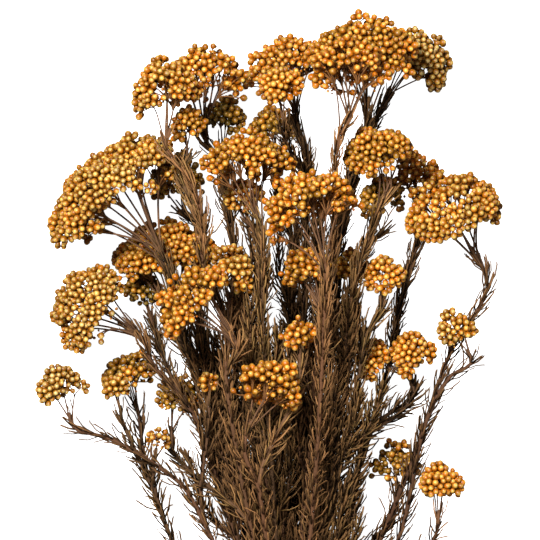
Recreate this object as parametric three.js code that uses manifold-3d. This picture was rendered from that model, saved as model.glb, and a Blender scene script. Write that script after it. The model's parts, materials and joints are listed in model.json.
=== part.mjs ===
// A bunch of dried rice flower, tied with jute twine and lying on its side.
// Units are millimetres. +Y runs from the tie up the stems, +Z is up from the surface that the
// bunch lies on, and the origin is on that surface, under the middle of the tie.
import * as THREE from "three";
import { mergeVertices } from "three/addons/utils/BufferGeometryUtils.js";
import Module from "manifold-3d";

const wasm = await Module();
wasm.setup();

// Stems where they are bound: one in the middle, six round it and twelve round those
const SLOT_SPACING = 3.55;
const STEM_RADIUS_LOW = 1.6;
const STEM_RADIUS_TOP = 0.95;
const BRANCH_RADIUS_LOW = 1.2;
const BRANCH_RADIUS_TOP = 0.85;
const TAIL_Y = -68;
const TAIL_SPREAD = 1.5;
const TAIL_LIFT = 6;
const TAIL_MIDDLE_Y = -38;

// Tie of jute twine: turns side by side, pressed flat where they rest
const TWINE_TURNS = 5;
const TWINE_PITCH = 2.2;
const TWINE_THICKNESS = 2.3;
const TWINE_DIP = 0.9;
const TIE_BORE = 2 * SLOT_SPACING + STEM_RADIUS_LOW + 0.35;
const TIE_Z = TIE_BORE + TWINE_THICKNESS - 0.45;
const TIE_HALF = TWINE_TURNS * TWINE_PITCH / 2;
const TIE_SIDES = 20;
const BOUND_HALF = TIE_HALF + 0.5;

// Stem paths are worked out on planes across the bunch, where they are eased apart
const PLANE_STEP = 4;
const STEM_GAP = 1.3;
const HEAD_GAP = 4.2;
const FLOOR_GAP = 1.2;
const EASE_ROUNDS = 160;

// A path starts flat and arrives a little steeper than its mean climb. It leans over on its way
// to a head that faces sideways, and its neck, where it turns onto the head's axis, is lower.
const CLIMB_START = 0.35;
const CLIMB_END = 1.1;
const NECK_LEAN = 0.6;
const NECK_SHARE = 0.3;
const NECK_DROP = 4;

// Needles: true length and lean in degrees, set in whorls of four
const WHORL_SPACING = 27;
const WHORL_HEIGHT = 1.2;
const BARE_SPACING = 19;
const NEEDLE_SHORT = 9;
const NEEDLE_LONG = 14;
const LEAN_LOW = 16;
const LEAN_HIGH = 38;
const LEAFY_FROM_Y = 56;
const FORK_BARE = 7;
const NEEDLE_TRIES = 5;
const NEEDLE_THICK = 0.6;
const NEEDLE_LOWEST = 0.8;
const NEEDLE_TO_DOME = 2.6;
const CLEARANCE = 0.25;

// Flower heads: domes of bead-like bumps, each bump one small cluster of buds. Rays from the
// hub under a dome carry it. Its left and right edges hang lower than the rest of the rim.
const DOME_RISE = 0.62;
const BUMP_RISE = 0.32;
const BUMP_TOP = 0.42;
const WANDER = 0.16;
const RIM_DROOP = 0.22;
const SHELL = 7;
const MIDDLE_UP = 0.35;
const HUB_DROP = 0.95;
const HUB_BELOW = 2;
const RAY_GAP = 0.35;
const OUTER_REACH = 0.78;
const INNER_REACH = 0.5;
const RAY_TOP_DROP = 2.5;
const TWO_WHORLS_FROM = 12;

// The seed of every random draw, and the cells in which what is already placed is looked up
const SEED = 20417;
const CROWD_CELL = 12;
const CROWD_STEP = 6;

// A head's middle x, y and z, its rim radius, the way it faces in the plane of the surface
// (degrees, 90 is +Y), the tilt of its face up from that plane, and for a side branch the y
// at which it leaves the main stem. The dome's rise is a share of the rim radius.
function head(x, y, z, radius, facing, tilt, fork = null, dome = DOME_RISE) {
  const a = THREE.MathUtils.degToRad(facing);
  const b = THREE.MathUtils.degToRad(tilt);
  const axis = new THREE.Vector3(Math.cos(a) * Math.cos(b), Math.sin(a) * Math.cos(b), Math.sin(b));
  const rise = dome * radius;
  const rim = new THREE.Vector3(x, y, z).addScaledVector(axis, -MIDDLE_UP * rise);
  const hub = rim.clone().addScaledVector(axis, -HUB_DROP * radius - HUB_BELOW);
  return { rim, hub, axis, radius, rise, fork };
}

// Each stem: the points (x, y) that it passes on its way up, then its heads, the main one first
const STEMS = [
  { via: [[-30, 270], [-45, 305]], heads: [
    head(-62.5, 353.5, 98, 18.7, 98, -12, null, 0.7),
    head(-50.5, 334, 79, 11, 95, 8, 270, 0.85)] },
  { via: [[-34, 315]], heads: [
    head(-42.5, 362, 50, 22, 89, -12, null, 0.72),
    head(-32.5, 340, 24, 12, 85, 10, 280, 0.8)] },
  { via: [[9, 315]], heads: [
    head(-2, 369, 31, 22.5, 100, -2, null, 0.62),
    head(-5, 354, 78, 13, 95, 8, 300, 0.7),
    head(-8, 336, 21, 14.5, 92, 10, 250, 0.75)] },
  { via: [[18, 290], [21, 325]], heads: [
    head(28.3, 364, 105, 22, 92, -18, null, 0.76)] },
  { via: [[28, 270], [32, 315]], heads: [
    head(36, 377.5, 66, 28.5, 93, 2, null, 0.48),
    head(69, 370, 19, 20.5, 48, 0, 270, 0.65)] },
  { via: [[-52, 215]], heads: [
    head(-96, 307.5, 68, 37, 131, 11, null, 0.34)] },
  { via: [[-38, 200]], heads: [
    head(-64.5, 274.5, 27, 27.5, 98, 13, null, 0.48),
    head(-57, 309, 26, 15.5, 95, 30, 200, 0.9)] },
  { via: [[-14, 240], [-14, 285]], heads: [
    head(-20, 320, 104, 23.5, 91, 2, null, 0.52),
    head(-23.5, 299, 74, 10.5, 95, 20, 240, 0.9)] },
  { via: [[34, 235], [42, 268], [49, 292]], heads: [
    head(43.5, 323, 96, 19.7, 105, 8, null, 0.5),
    head(45.5, 299, 64, 13, 95, 5, 250, 0.8)] },
  { via: [[47.5, 130], [64, 175], [78, 222]], heads: [
    head(77.8, 295, 78, 26.7, 115, 27, null, 0.52)] },
  { via: [[14, 180], [17, 245]], heads: [
    head(7.8, 297.5, 121, 24.5, 105, -15, null, 0.54),
    head(5, 264, 94, 14, 115, 15, 215, 0.7)] },
  { via: [[-45, 180], [-70, 215]], heads: [
    head(-106.5, 244, 70, 24.5, 154, 26, null, 0.46),
    head(-74, 252, 14, 11, 100, 20, 190, 0.8)] },
  { via: [[-32, 209]], heads: [
    head(-53, 249, 112, 22.5, 138, 12, null, 0.5),
    head(-28.5, 262, 84, 13, 85, 15, 200, 0.75),
    head(-56, 199, 34, 13.5, 78, 12, 130, 0.78)] },
  { via: [[-50, 147], [-90, 176]], heads: [
    head(-115.5, 204, 70, 12, 108, 15, null, 0.75),
    head(-41, 205, 62, 5.5, 95, 20, 125)] },
  { via: [[-60, 125], [-67, 145], [-80, 175]], heads: [
    head(-87, 203, 58, 8, 100, 15),
    head(-82.5, 211.5, 34, 15.5, 105, 10, 150, 0.6),
    head(-66, 177, 62, 6.5, 80, 25, 130, 0.8)] },
  { via: [[-15, 150]], heads: [
    head(-7, 206.5, 112, 18.5, 60, -8, null, 0.68),
    head(3.5, 230.5, 94, 9.5, 95, 22, 150, 0.8)] },
  { via: [[55, 125], [67, 180], [80, 207]], heads: [
    head(81, 233, 62, 11, 120, 15, null, 0.7),
    head(74.5, 156.5, 74, 12, 88, 8, 85)] },
  { via: [[47.5, 195], [56, 245]], heads: [
    head(64, 311, 47, 14.5, 92, 10, null, 0.7),
    head(62, 220.5, 48, 13, 90, 20, 180, 0.85),
    head(54, 165, 26, 14, 90, 22, 100, 0.7)] },
  { via: [[38, 228]], heads: [
    head(46.5, 260, 80, 11, 85, 20, null, 0.8),
    head(30, 263.5, 56, 10.5, 95, 20, 215, 0.8),
    head(39, 217, 52, 12.5, 155, 22, 165, 0.6)] },
];

// A seeded draw, so that the bunch is the same each time
function makeRandom(seed) {
  let state = seed;
  return () => {
    state = state * 48271 % 2147483647;
    return state / 2147483647;
  };
}

// Slots of the bound stems, as offsets from the middle of the tie
function tieSlots() {
  const slots = [];
  for (let ring = 0; ring <= 2; ring++) {
    const count = Math.max(1, 6 * ring);
    for (let i = 0; i < count; i++) {
      const side = Math.floor(i / Math.max(1, ring));
      const along = ring ? (i % ring) / ring : 0;
      const from = side * Math.PI / 3;
      const to = from + Math.PI / 3;
      const reach = ring * SLOT_SPACING;
      slots.push([
        reach * ((1 - along) * Math.cos(from) + along * Math.cos(to)),
        reach * ((1 - along) * Math.sin(from) + along * Math.sin(to)),
      ]);
    }
  }
  return slots;
}

// Gives each stem the slot on its own side of the bunch, by swapping pairs while that helps
function shareSlots(stems) {
  const slots = tieSlots();
  const pulls = stems.map(({ via, heads }) => {
    const { hub } = heads[0];
    return [via[0][0] / via[0][1], (hub.z - TIE_Z) / hub.y];
  });
  const spread = (rows, axis) => {
    const mean = rows.reduce((sum, row) => sum + row[axis], 0) / rows.length;
    const wide = Math.sqrt(rows.reduce((sum, row) => sum + (row[axis] - mean) ** 2, 0) / rows.length);
    return { mean, wide };
  };
  const wanted = pulls.map((pull) => [0, 1].map((axis) => {
    const { mean, wide } = spread(pulls, axis);
    return (pull[axis] - mean) / wide * spread(slots, axis).wide;
  }));
  const cost = (i, s) => (wanted[i][0] - slots[s][0]) ** 2 + (wanted[i][1] - slots[s][1]) ** 2;
  const taken = stems.map((_, i) => i);
  let better = true;
  while (better) {
    better = false;
    for (let i = 0; i < taken.length; i++) {
      for (let j = i + 1; j < taken.length; j++) {
        const now = cost(i, taken[i]) + cost(j, taken[j]);
        const swapped = cost(i, taken[j]) + cost(j, taken[i]);
        if (swapped < now - 1e-9) {
          [taken[i], taken[j]] = [taken[j], taken[i]];
          better = true;
        }
      }
    }
  }
  return taken.map((s) => slots[s]);
}

// Weights of a smooth curve's start, slope there, end and slope there, at a share u of its span
function hermite(u) {
  const u2 = u * u;
  const u3 = u2 * u;
  return [2 * u3 - 3 * u2 + 1, u3 - 2 * u2 + u, 3 * u2 - 2 * u3, u3 - u2];
}

// A smooth value at y through knots [y, value], with the given slopes at both ends
function smoothAt(y, knots, slopeIn, slopeOut) {
  const last = knots.length - 1;
  const slope = (i) => {
    if (i === 0) return slopeIn;
    if (i === last) return slopeOut;
    return (knots[i + 1][1] - knots[i - 1][1]) / (knots[i + 1][0] - knots[i - 1][0]);
  };
  let i = 0;
  while (i < last - 1 && y > knots[i + 1][0]) i++;
  const span = knots[i + 1][0] - knots[i][0];
  const [start, leave, end, arrive] = hermite((y - knots[i][0]) / span);
  return knots[i][1] * start + slope(i) * span * leave
    + knots[i + 1][1] * end + slope(i + 1) * span * arrive;
}

// The radius at a share u of the way up a main stem or a side branch
function radiusAt(place, u) {
  if (place) return THREE.MathUtils.lerp(BRANCH_RADIUS_LOW, BRANCH_RADIUS_TOP, u);
  return THREE.MathUtils.lerp(STEM_RADIUS_LOW, STEM_RADIUS_TOP, Math.max(0, 1.3 * u - 0.3));
}

// The smooth course of a main stem from the tie, or of a branch from its fork, up to its neck,
// a little below the hub of its head
function courseOf(top, via, main, slot) {
  const neckY = top.hub.y - NECK_SHARE * top.radius - NECK_DROP;
  const leanX = NECK_LEAN * top.axis.x / Math.max(0.5, top.axis.y);
  const neckX = top.hub.x - leanX * (top.hub.y - neckY);
  const startY = main ? top.fork : BOUND_HALF;
  const startX = main ? main.xAt(startY) : slot[0];
  const startZ = main ? main.zAt(startY) : TIE_Z + slot[1];
  const climb = (top.hub.z - startZ) / (neckY - startY);
  const slopeX = main ? (main.xAt(startY) - main.xAt(startY - 2)) / 2 : 0;
  const slopeZ = main ? (main.zAt(startY) - main.zAt(startY - 2)) / 2 : CLIMB_START * climb;
  const passed = main ? [] : via.map(([x, y]) => [y, x]);
  const knotsX = [[startY, startX], ...passed, [neckY, neckX]];
  const knotsZ = [[startY, startZ], [neckY, top.hub.z]];
  const xAt = (y) => smoothAt(y, knotsX, slopeX, leanX);
  const zAt = (y) => smoothAt(y, knotsZ, slopeZ, CLIMB_END * climb);
  return { startY, neckY, xAt, zAt };
}

// A bound stem's place below the tie, where it flares a little towards its cut end
function tailAt(y, [slotX, slotZ]) {
  const u = Math.max(0, (-BOUND_HALF - y) / (-BOUND_HALF - TAIL_Y));
  const flare = 1 + (TAIL_SPREAD - 1) * hermite(u)[2];
  return new THREE.Vector3(slotX * flare, y, TIE_Z + slotZ * flare + TAIL_LIFT * u * u);
}

// One strand per head: its place on each plane, from the cut end or its fork up to its neck
function layStrands(stems) {
  const slots = shareSlots(stems);
  const strands = [];
  stems.forEach(({ via, heads }, stem) => {
    let main = null;
    heads.forEach((top, place) => {
      const course = courseOf(top, via, main, slots[stem]);
      const from = main ? Math.ceil((course.startY - TAIL_Y) / PLANE_STEP) : 0;
      const to = Math.floor((course.neckY - TAIL_Y) / PLANE_STEP);
      const points = [];
      for (let k = from; k <= to; k++) {
        const y = TAIL_Y + k * PLANE_STEP;
        const bound = !main && y < course.startY;
        const free = () => new THREE.Vector3(course.xAt(y), y, course.zAt(y));
        points.push(bound ? tailAt(y, slots[stem]) : free());
      }
      const radii = points.map((_, i) => radiusAt(place, i / (points.length - 1)));
      const held = points.map((p, i) => (main ? i === 0 : p.y < BOUND_HALF + 3));
      strands.push({ stem, place, from, to, points, radii, held, top });
      main ??= course;
    });
  });
  return strands;
}

// How far two strands push each other on one plane, or null where they are clear
function pushOffStem(a, i, b, j) {
  const need = a.radii[i] + b.radii[j] + STEM_GAP;
  const apart = new THREE.Vector3().subVectors(b.points[j], a.points[i]);
  if (apart.length() > 3 * need) return null;
  const along = slopeOf(a, i).add(slopeOf(b, j)).normalize();
  const across = Math.sqrt(Math.max(1e-6, apart.lengthSq() - apart.dot(along) ** 2));
  if (across >= need) return null;
  const reach = 0.5 * (need - across) * Math.min(2, apart.length() / across);
  return apart.multiplyScalar(reach / apart.length());
}

function slopeOf(strand, i) {
  const low = strand.points[Math.max(0, i - 1)];
  const high = strand.points[Math.min(strand.points.length - 1, i + 1)];
  return new THREE.Vector3().subVectors(high, low).normalize();
}

// How far a head pushes a strand's point out of its dome, or null where the point is clear
function pushOffHead(point, top) {
  const reach = top.radius + HEAD_GAP;
  const depth = 0.6 * top.rise + HEAD_GAP;
  const middle = top.rim.clone().addScaledVector(top.axis, 0.4 * top.rise);
  const off = new THREE.Vector3().subVectors(point, middle);
  const along = off.dot(top.axis);
  const side = off.clone().addScaledVector(top.axis, -along);
  const inside = Math.hypot(along / depth, side.length() / reach);
  if (inside >= 1) return null;
  const out = side.multiplyScalar(1 / reach ** 2).addScaledVector(top.axis, along / depth ** 2);
  const flat = Math.hypot(out.x, out.z);
  return out.multiplyScalar(0.5 * (1 - inside) * depth / flat);
}

// Every push on every strand, all taken from the same places, so that their order is no matter
function pushesOn(strands) {
  const pushes = strands.map((s) => s.points.map(() => new THREE.Vector3()));
  const planes = Math.max(...strands.map((s) => s.to)) + 1;
  for (let k = 0; k < planes; k++) {
    strands.forEach((a, one) => {
      if (k < a.from || k > a.to) return;
      strands.forEach((b, two) => {
        if (two <= one || a.stem === b.stem || k < b.from || k > b.to) return;
        const push = pushOffStem(a, k - a.from, b, k - b.from);
        if (!push) return;
        pushes[one][k - a.from].sub(push);
        pushes[two][k - b.from].add(push);
      });
      for (const other of strands) {
        const push = other === a ? null : pushOffHead(a.points[k - a.from], other.top);
        if (push) pushes[one][k - a.from].add(push);
      }
    });
  }
  return pushes;
}

// Pushes apart what is too close on each plane, and eases each strand's shift along its length
function easeStrands(strands) {
  const starts = strands.map((s) => s.points.map((p) => p.clone()));
  for (let round = 0; round < EASE_ROUNDS; round++) {
    const pushes = pushesOn(strands);
    const shifts = strands.map((strand, s) => strand.points.map((p, i) => {
      if (strand.held[i]) return new THREE.Vector3().subVectors(p, starts[s][i]);
      const x = p.x + pushes[s][i].x;
      const z = Math.max(p.z + pushes[s][i].z, strand.radii[i] + FLOOR_GAP);
      return new THREE.Vector3(x, p.y, z).sub(starts[s][i]);
    }));
    strands.forEach((strand, s) => {
      if (strand.place) {
        const main = strands.findIndex((other) => other.stem === strand.stem);
        const fork = strand.from - strands[main].from;
        const at = new THREE.Vector3().addVectors(starts[main][fork], shifts[main][fork]);
        strand.points[0].copy(at);
        shifts[s][0].subVectors(at, starts[s][0]);
      }
      strand.points.forEach((p, i) => {
        if (strand.held[i]) return;
        const next = shifts[s][Math.min(i + 1, strand.points.length - 1)];
        p.copy(starts[s][i]).addScaledVector(shifts[s][i], 0.5)
          .addScaledVector(shifts[s][i - 1], 0.25).addScaledVector(next, 0.25);
      });
    });
  }
}

// A strand's whole path: its eased planes, then a bend that brings it onto its head's axis
function pathOf({ points, place, top }) {
  const neck = points[points.length - 1];
  const span = neck.distanceTo(top.hub);
  const going = new THREE.Vector3().subVectors(neck, points[points.length - 2]).setLength(span);
  const coming = top.axis.clone().setLength(span);
  const steps = Math.max(2, Math.round(span / PLANE_STEP));
  const all = [...points];
  for (let i = 1; i <= steps; i++) {
    const [start, leave, end, arrive] = hermite(i / steps);
    all.push(new THREE.Vector3().addScaledVector(neck, start).addScaledVector(going, leave)
      .addScaledVector(top.hub, end).addScaledVector(coming, arrive));
  }
  const lengths = [0];
  for (let i = 1; i < all.length; i++) lengths.push(lengths[i - 1] + all[i].distanceTo(all[i - 1]));
  const total = lengths[lengths.length - 1];
  const at = (s) => {
    let i = 0;
    while (i < all.length - 2 && s > lengths[i + 1]) i++;
    const u = (s - lengths[i]) / (lengths[i + 1] - lengths[i]);
    const point = new THREE.Vector3().lerpVectors(all[i], all[i + 1], u);
    const low = all[Math.max(0, i - 1)];
    const high = all[Math.min(all.length - 1, i + 2)];
    const tangent = new THREE.Vector3().subVectors(high, low).normalize();
    return { point, tangent, radius: radiusAt(place, s / total) };
  };
  const lengthTo = (y) => {
    const i = all.findIndex((p) => p.y >= y);
    const u = (all[i].y - y) / (all[i].y - all[i - 1].y);
    return THREE.MathUtils.lerp(lengths[i], lengths[i - 1], u);
  };
  return { at, total, lengthTo };
}

// The shortest way between two segments
function segmentsApart(p1, q1, p2, q2) {
  const d1 = new THREE.Vector3().subVectors(q1, p1);
  const d2 = new THREE.Vector3().subVectors(q2, p2);
  const r = new THREE.Vector3().subVectors(p1, p2);
  const a = d1.dot(d1);
  const e = d2.dot(d2);
  const f = d2.dot(r);
  const c = d1.dot(r);
  const b = d1.dot(d2);
  const denom = a * e - b * b;
  const clamp = (v) => Math.min(1, Math.max(0, v));
  let s = denom > 1e-9 ? clamp((b * f - c * e) / denom) : 0;
  const t = clamp((b * s + f) / e);
  s = clamp((b * t - c) / a);
  return p1.clone().addScaledVector(d1, s).distanceTo(p2.clone().addScaledVector(d2, t));
}

// Everything already placed, as thick segments, found again by the cell that they lie in
class Crowd {
  constructor(cell) {
    this.cell = cell;
    this.cells = new Map();
  }

  keys(a, b, margin) {
    const found = [];
    const range = ["x", "y", "z"].map((axis) => [
      Math.floor((Math.min(a[axis], b[axis]) - margin) / this.cell),
      Math.floor((Math.max(a[axis], b[axis]) + margin) / this.cell),
    ]);
    for (let x = range[0][0]; x <= range[0][1]; x++) {
      for (let y = range[1][0]; y <= range[1][1]; y++) {
        for (let z = range[2][0]; z <= range[2][1]; z++) found.push(`${x},${y},${z}`);
      }
    }
    return found;
  }

  add(a, b, thick, owner) {
    const item = { a, b, thick, owner };
    for (const key of this.keys(a, b, thick)) {
      if (!this.cells.has(key)) this.cells.set(key, []);
      this.cells.get(key).push(item);
    }
  }

  // Whether a thick segment stays clear of all but its owner's own items
  clear(a, b, thick, owner) {
    const near = new Set(this.keys(a, b, thick + 2).flatMap((key) => this.cells.get(key) ?? []));
    return [...near].every((item) => (
      item.owner === owner || segmentsApart(a, b, item.a, item.b) > thick + item.thick));
  }
}

// Whether a point keeps clear of a head's dome by a margin
function clearOfDome(point, top, margin) {
  const off = new THREE.Vector3().subVectors(point, top.rim);
  const along = off.dot(top.axis);
  const across = Math.sqrt(Math.max(0, off.lengthSq() - along * along));
  if (along < -3 - margin || across > top.radius + margin) return true;
  const inside = Math.hypot(along / (top.rise + margin), across / (top.radius + margin));
  return inside > 1 && along > 0;
}

// Two directions square to an axis and to each other
function squareTo(axis) {
  const up = Math.abs(axis.z) > 0.9 ? new THREE.Vector3(1, 0, 0) : new THREE.Vector3(0, 0, 1);
  const first = new THREE.Vector3().crossVectors(axis, up).normalize();
  const second = new THREE.Vector3().crossVectors(first, axis).normalize();
  return [first, second];
}

// Vertices and triangles of one body
class Form {
  constructor() {
    this.points = [];
    this.faces = [];
  }

  point(p) {
    this.points.push(p);
    return this.points.length - 1;
  }

  face(a, b, c) {
    this.faces.push([a, b, c]);
  }

  // Drops the points that no face uses
  keepUsed() {
    const used = [...new Set(this.faces.flat())].sort((a, b) => a - b);
    const renamed = new Map(used.map((old, i) => [old, i]));
    this.points = used.map((old) => this.points[old]);
    this.faces = this.faces.map((face) => face.map((old) => renamed.get(old)));
  }

  geometry() {
    const geometry = new THREE.BufferGeometry().setFromPoints(this.points);
    geometry.setIndex(this.faces.flat());
    return geometry;
  }

  solid() {
    const vertProperties = new Float32Array(this.points.flatMap((p) => [p.x, p.y, p.z]));
    const triVerts = new Uint32Array(this.faces.flat());
    return new wasm.Manifold(new wasm.Mesh({ numProp: 3, vertProperties, triVerts }));
  }
}

// Rings of sites on a dome of the given size: a middle one, then six more in each ring
function ringsFor(radius) {
  if (radius > 30) return 4;
  if (radius > 21.5) return 3;
  if (radius > 13.2) return 2;
  return 1;
}

// Rings of sites over a dome, the last ring lying outside it, to shape its rim
function domeSites(top, rings, spacing, random) {
  const [right, ahead] = squareTo(top.axis);
  const base = top.radius - 0.8 * BUMP_RISE * spacing;
  const sites = [];
  for (let ring = 0; ring <= rings + 1; ring++) {
    const count = Math.max(1, 6 * ring);
    sites.push([]);
    for (let i = 0; i < count; i++) {
      const wander = ring <= rings ? WANDER : 0;
      const phi = Math.PI / 2 * (ring + wander * (random() - 0.5)) / (rings + 0.45);
      const theta = 2 * Math.PI * (i + 1.5 * wander * (random() - 0.5)) / count;
      const grow = ring <= rings ? 0.95 + 0.1 * random() : 1;
      const up = Math.cos(phi);
      const side = Math.sin(phi) * Math.cos(theta);
      const front = Math.sin(phi) * Math.sin(theta);
      const place = new THREE.Vector3().copy(top.rim)
        .addScaledVector(top.axis, top.rise * grow * up - RIM_DROOP * top.radius * side ** 2)
        .addScaledVector(right, base * grow * side)
        .addScaledVector(ahead, base * grow * front);
      const out = new THREE.Vector3().addScaledVector(top.axis, up / top.rise)
        .addScaledVector(right, side / base)
        .addScaledVector(ahead, front / base).normalize();
      sites[ring].push({ place, out, corners: [] });
    }
  }
  return sites;
}

// A corner of the dome's honeycomb in the middle of each three neighbouring sites
function addCorners(form, sites, rings) {
  const corner = (...three) => {
    const middle = new THREE.Vector3();
    for (const { place } of three) middle.addScaledVector(place, 1 / 3);
    const index = form.point(middle);
    for (const { corners } of three) corners.push(index);
  };
  const site = (ring, i) => sites[ring][i % sites[ring].length];
  for (let ring = 0; ring <= rings; ring++) {
    for (let side = 0; side < 6; side++) {
      for (let i = 0; i <= ring; i++) {
        const inner = side * ring + i;
        const outer = side * (ring + 1) + i;
        corner(site(ring + 1, outer), site(ring + 1, outer + 1), site(ring, inner));
        if (i < ring) corner(site(ring, inner), site(ring + 1, outer + 1), site(ring, inner + 1));
      }
    }
  }
}

// A bump raised from one cell of the honeycomb: ten triangles from its six corners to three
// peaks. Returns the corners in order round the cell.
function addBump(form, { place, out, corners }, rise) {
  const [across, along] = squareTo(out);
  const turn = (c) => {
    const off = new THREE.Vector3().subVectors(form.points[c], place);
    return Math.atan2(off.dot(across), off.dot(along));
  };
  const loop = [...corners].sort((a, b) => turn(a) - turn(b));
  const peaks = [0, 2, 4].map((c) => form.point(new THREE.Vector3()
    .lerpVectors(place, form.points[loop[c]], BUMP_TOP).addScaledVector(out, rise)));
  for (let c = 0; c < 6; c++) {
    const peak = peaks[Math.ceil(c / 2) % 3];
    form.face(loop[c], loop[(c + 1) % 6], peak);
    if (c % 2) form.face(loop[c], peak, peaks[(c - 1) / 2]);
  }
  form.face(...peaks);
  return loop;
}

// A head: bumps over its dome, and a shallow hollow cone under it. The roof is the cone's top.
function headForm(top, random) {
  const rings = ringsFor(top.radius);
  const spacing = 1.25 * top.radius / (rings + 0.45);
  const sites = domeSites(top, rings, spacing, random);
  const form = new Form();
  addCorners(form, sites, rings);
  const edges = new Map();
  for (const site of sites.slice(0, rings + 1).flat()) {
    const loop = addBump(form, site, BUMP_RISE * spacing * (0.75 + 0.5 * random()));
    loop.forEach((c, i) => edges.set(`${c},${loop[(i + 1) % 6]}`, [c, loop[(i + 1) % 6]]));
  }
  const shell = Math.min(SHELL, 0.75 * top.rise);
  const roof = new THREE.Vector3().copy(top.rim).addScaledVector(top.axis, top.rise - shell);
  const roofIndex = form.point(roof);
  const rimLoop = [];
  for (const [a, b] of edges.values()) {
    if (edges.has(`${b},${a}`)) continue;
    form.face(b, a, roofIndex);
    rimLoop.push(form.points[a]);
  }
  form.keepUsed();
  for (const p of form.points) p.z = Math.max(0, p.z);
  return { form, roof, rimLoop };
}

// Distances along a strand where its tube has a ring, and the kind of whorl that starts there
function stationsOf(path, strand, random) {
  const raysFrom = path.total - 0.28 * strand.top.radius - 3;
  const stations = [{ s: 0 }];
  if (!strand.place) {
    for (const y of [TAIL_MIDDLE_Y, -BOUND_HALF, BOUND_HALF]) stations.push({ s: path.lengthTo(y) });
  }
  let s = strand.place ? FORK_BARE : path.lengthTo(BOUND_HALF) + BARE_SPACING;
  while (path.at(s).point.y < LEAFY_FROM_Y) {
    stations.push({ s });
    s += BARE_SPACING;
  }
  s -= 4 * random();
  while (s < raysFrom - 6) {
    stations.push({ s, whorl: "needles" });
    s += WHORL_SPACING;
  }
  if (strand.top.radius > TWO_WHORLS_FROM) stations.push({ s: raysFrom, whorl: "inner rays" });
  stations.push({ s: path.total - RAY_TOP_DROP, whorl: "outer rays" });
  return stations;
}

// A square tube along a strand up to a point, with a spike raised from each face of each whorl
function strandForm(path, stations, tipFor, endTip) {
  const form = new Form();
  const ring = (s, turn) => {
    const { point, tangent, radius } = path.at(s);
    const [right, ahead] = squareTo(tangent);
    return [0, 1, 2, 3].map((corner) => {
      const angle = turn + corner * Math.PI / 2;
      return form.point(point.clone().addScaledVector(right, radius * Math.cos(angle))
        .addScaledVector(ahead, radius * Math.sin(angle)));
    });
  };
  const band = (low, high, tips) => {
    for (let side = 0; side < 4; side++) {
      const a = low[side];
      const b = low[(side + 1) % 4];
      const c = high[(side + 1) % 4];
      const d = high[side];
      const tip = tips?.[side];
      if (tip) {
        const t = form.point(tip);
        form.face(b, a, t);
        form.face(c, b, t);
        form.face(d, c, t);
        form.face(a, d, t);
      } else {
        form.face(b, a, d);
        form.face(b, d, c);
      }
    }
  };
  let below = null;
  stations.forEach(({ s, whorl }, number) => {
    const turn = number * Math.PI / 4;
    const low = ring(s, turn);
    if (below) {
      band(below, low);
    } else {
      form.face(low[0], low[1], low[2]);
      form.face(low[0], low[2], low[3]);
    }
    below = low;
    if (whorl) {
      below = ring(s + WHORL_HEIGHT, turn);
      band(low, below, [0, 1, 2, 3].map((side) => tipFor(whorl, faceAt(path, s, turn, side))));
    }
  });
  const last = ring(path.total, (stations.length - 1) * Math.PI / 4);
  band(below, last);
  const middle = form.point(endTip);
  for (let side = 0; side < 4; side++) form.face(last[(side + 1) % 4], last[side], middle);
  return form;
}

// The direction and middle of one face of a square tube
function faceAt(path, s, turn, side) {
  const { point, tangent, radius } = path.at(s + WHORL_HEIGHT / 2);
  const [right, ahead] = squareTo(tangent);
  const angle = turn + (side + 0.5) * Math.PI / 2;
  const out = right.multiplyScalar(Math.cos(angle)).addScaledVector(ahead, Math.sin(angle));
  const middle = point.clone().addScaledVector(out, radius * Math.SQRT1_2);
  return { out, middle, tangent };
}

// A ray's tip, just short of the head's underside on the side that its face looks to
function rayTip({ roof, rimLoop }, { axis }, out, reach) {
  const flat = (v) => v.addScaledVector(axis, -v.dot(axis)).normalize();
  const wanted = flat(out.clone());
  const match = (p) => flat(new THREE.Vector3().subVectors(p, roof)).dot(wanted);
  const rimPoint = rimLoop.reduce((best, p) => (match(p) > match(best) ? p : best));
  return new THREE.Vector3().lerpVectors(roof, rimPoint, reach).addScaledVector(axis, -RAY_GAP);
}

// One strand with its rays and needles, each of those only where it stays clear of all the rest
function dressStrand(index, strand, path, headBody, crowd, tops, random) {
  const { top } = strand;
  const clear = (root, tip, skip) => {
    const ways = [0.25, 0.5, 0.75, 1].map((u) => new THREE.Vector3().lerpVectors(root, tip, u));
    return tops.every((other) => other === skip || ways.every((p) => clearOfDome(p, other, NEEDLE_TO_DOME)))
      && crowd.clear(root, tip, NEEDLE_THICK + CLEARANCE, index);
  };
  const ray = (whorl, { out, middle }) => {
    const tip = rayTip(headBody, top, out, whorl === "outer rays" ? OUTER_REACH : INNER_REACH);
    const reach = new THREE.Vector3().subVectors(tip, middle).dot(out);
    const root = new THREE.Vector3().lerpVectors(middle, tip, 0.12);
    if (reach < 1.5 || !clear(root, tip, top)) return null;
    crowd.add(root, tip, NEEDLE_THICK, index);
    return tip;
  };
  const needle = ({ out, middle, tangent }) => {
    for (let attempt = 0; attempt < NEEDLE_TRIES; attempt++) {
      const shrink = 1 - 0.1 * attempt;
      const length = shrink * THREE.MathUtils.lerp(NEEDLE_SHORT, NEEDLE_LONG, random());
      const lean = THREE.MathUtils.degToRad(THREE.MathUtils.lerp(LEAN_LOW, LEAN_HIGH, random()));
      const tip = middle.clone().addScaledVector(tangent, length * Math.cos(lean))
        .addScaledVector(out, length * Math.sin(lean));
      const root = new THREE.Vector3().lerpVectors(middle, tip, 0.08);
      if (tip.z > NEEDLE_LOWEST && clear(root, tip, null)) {
        crowd.add(root, tip, NEEDLE_THICK, index);
        return tip;
      }
    }
    return null;
  };
  const tipFor = (whorl, face) => (whorl === "needles" ? needle(face) : ray(whorl, face));
  const endTip = headBody.roof.clone().addScaledVector(top.axis, -RAY_GAP);
  return strandForm(path, stationsOf(path, strand, random), tipFor, endTip);
}

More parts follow.
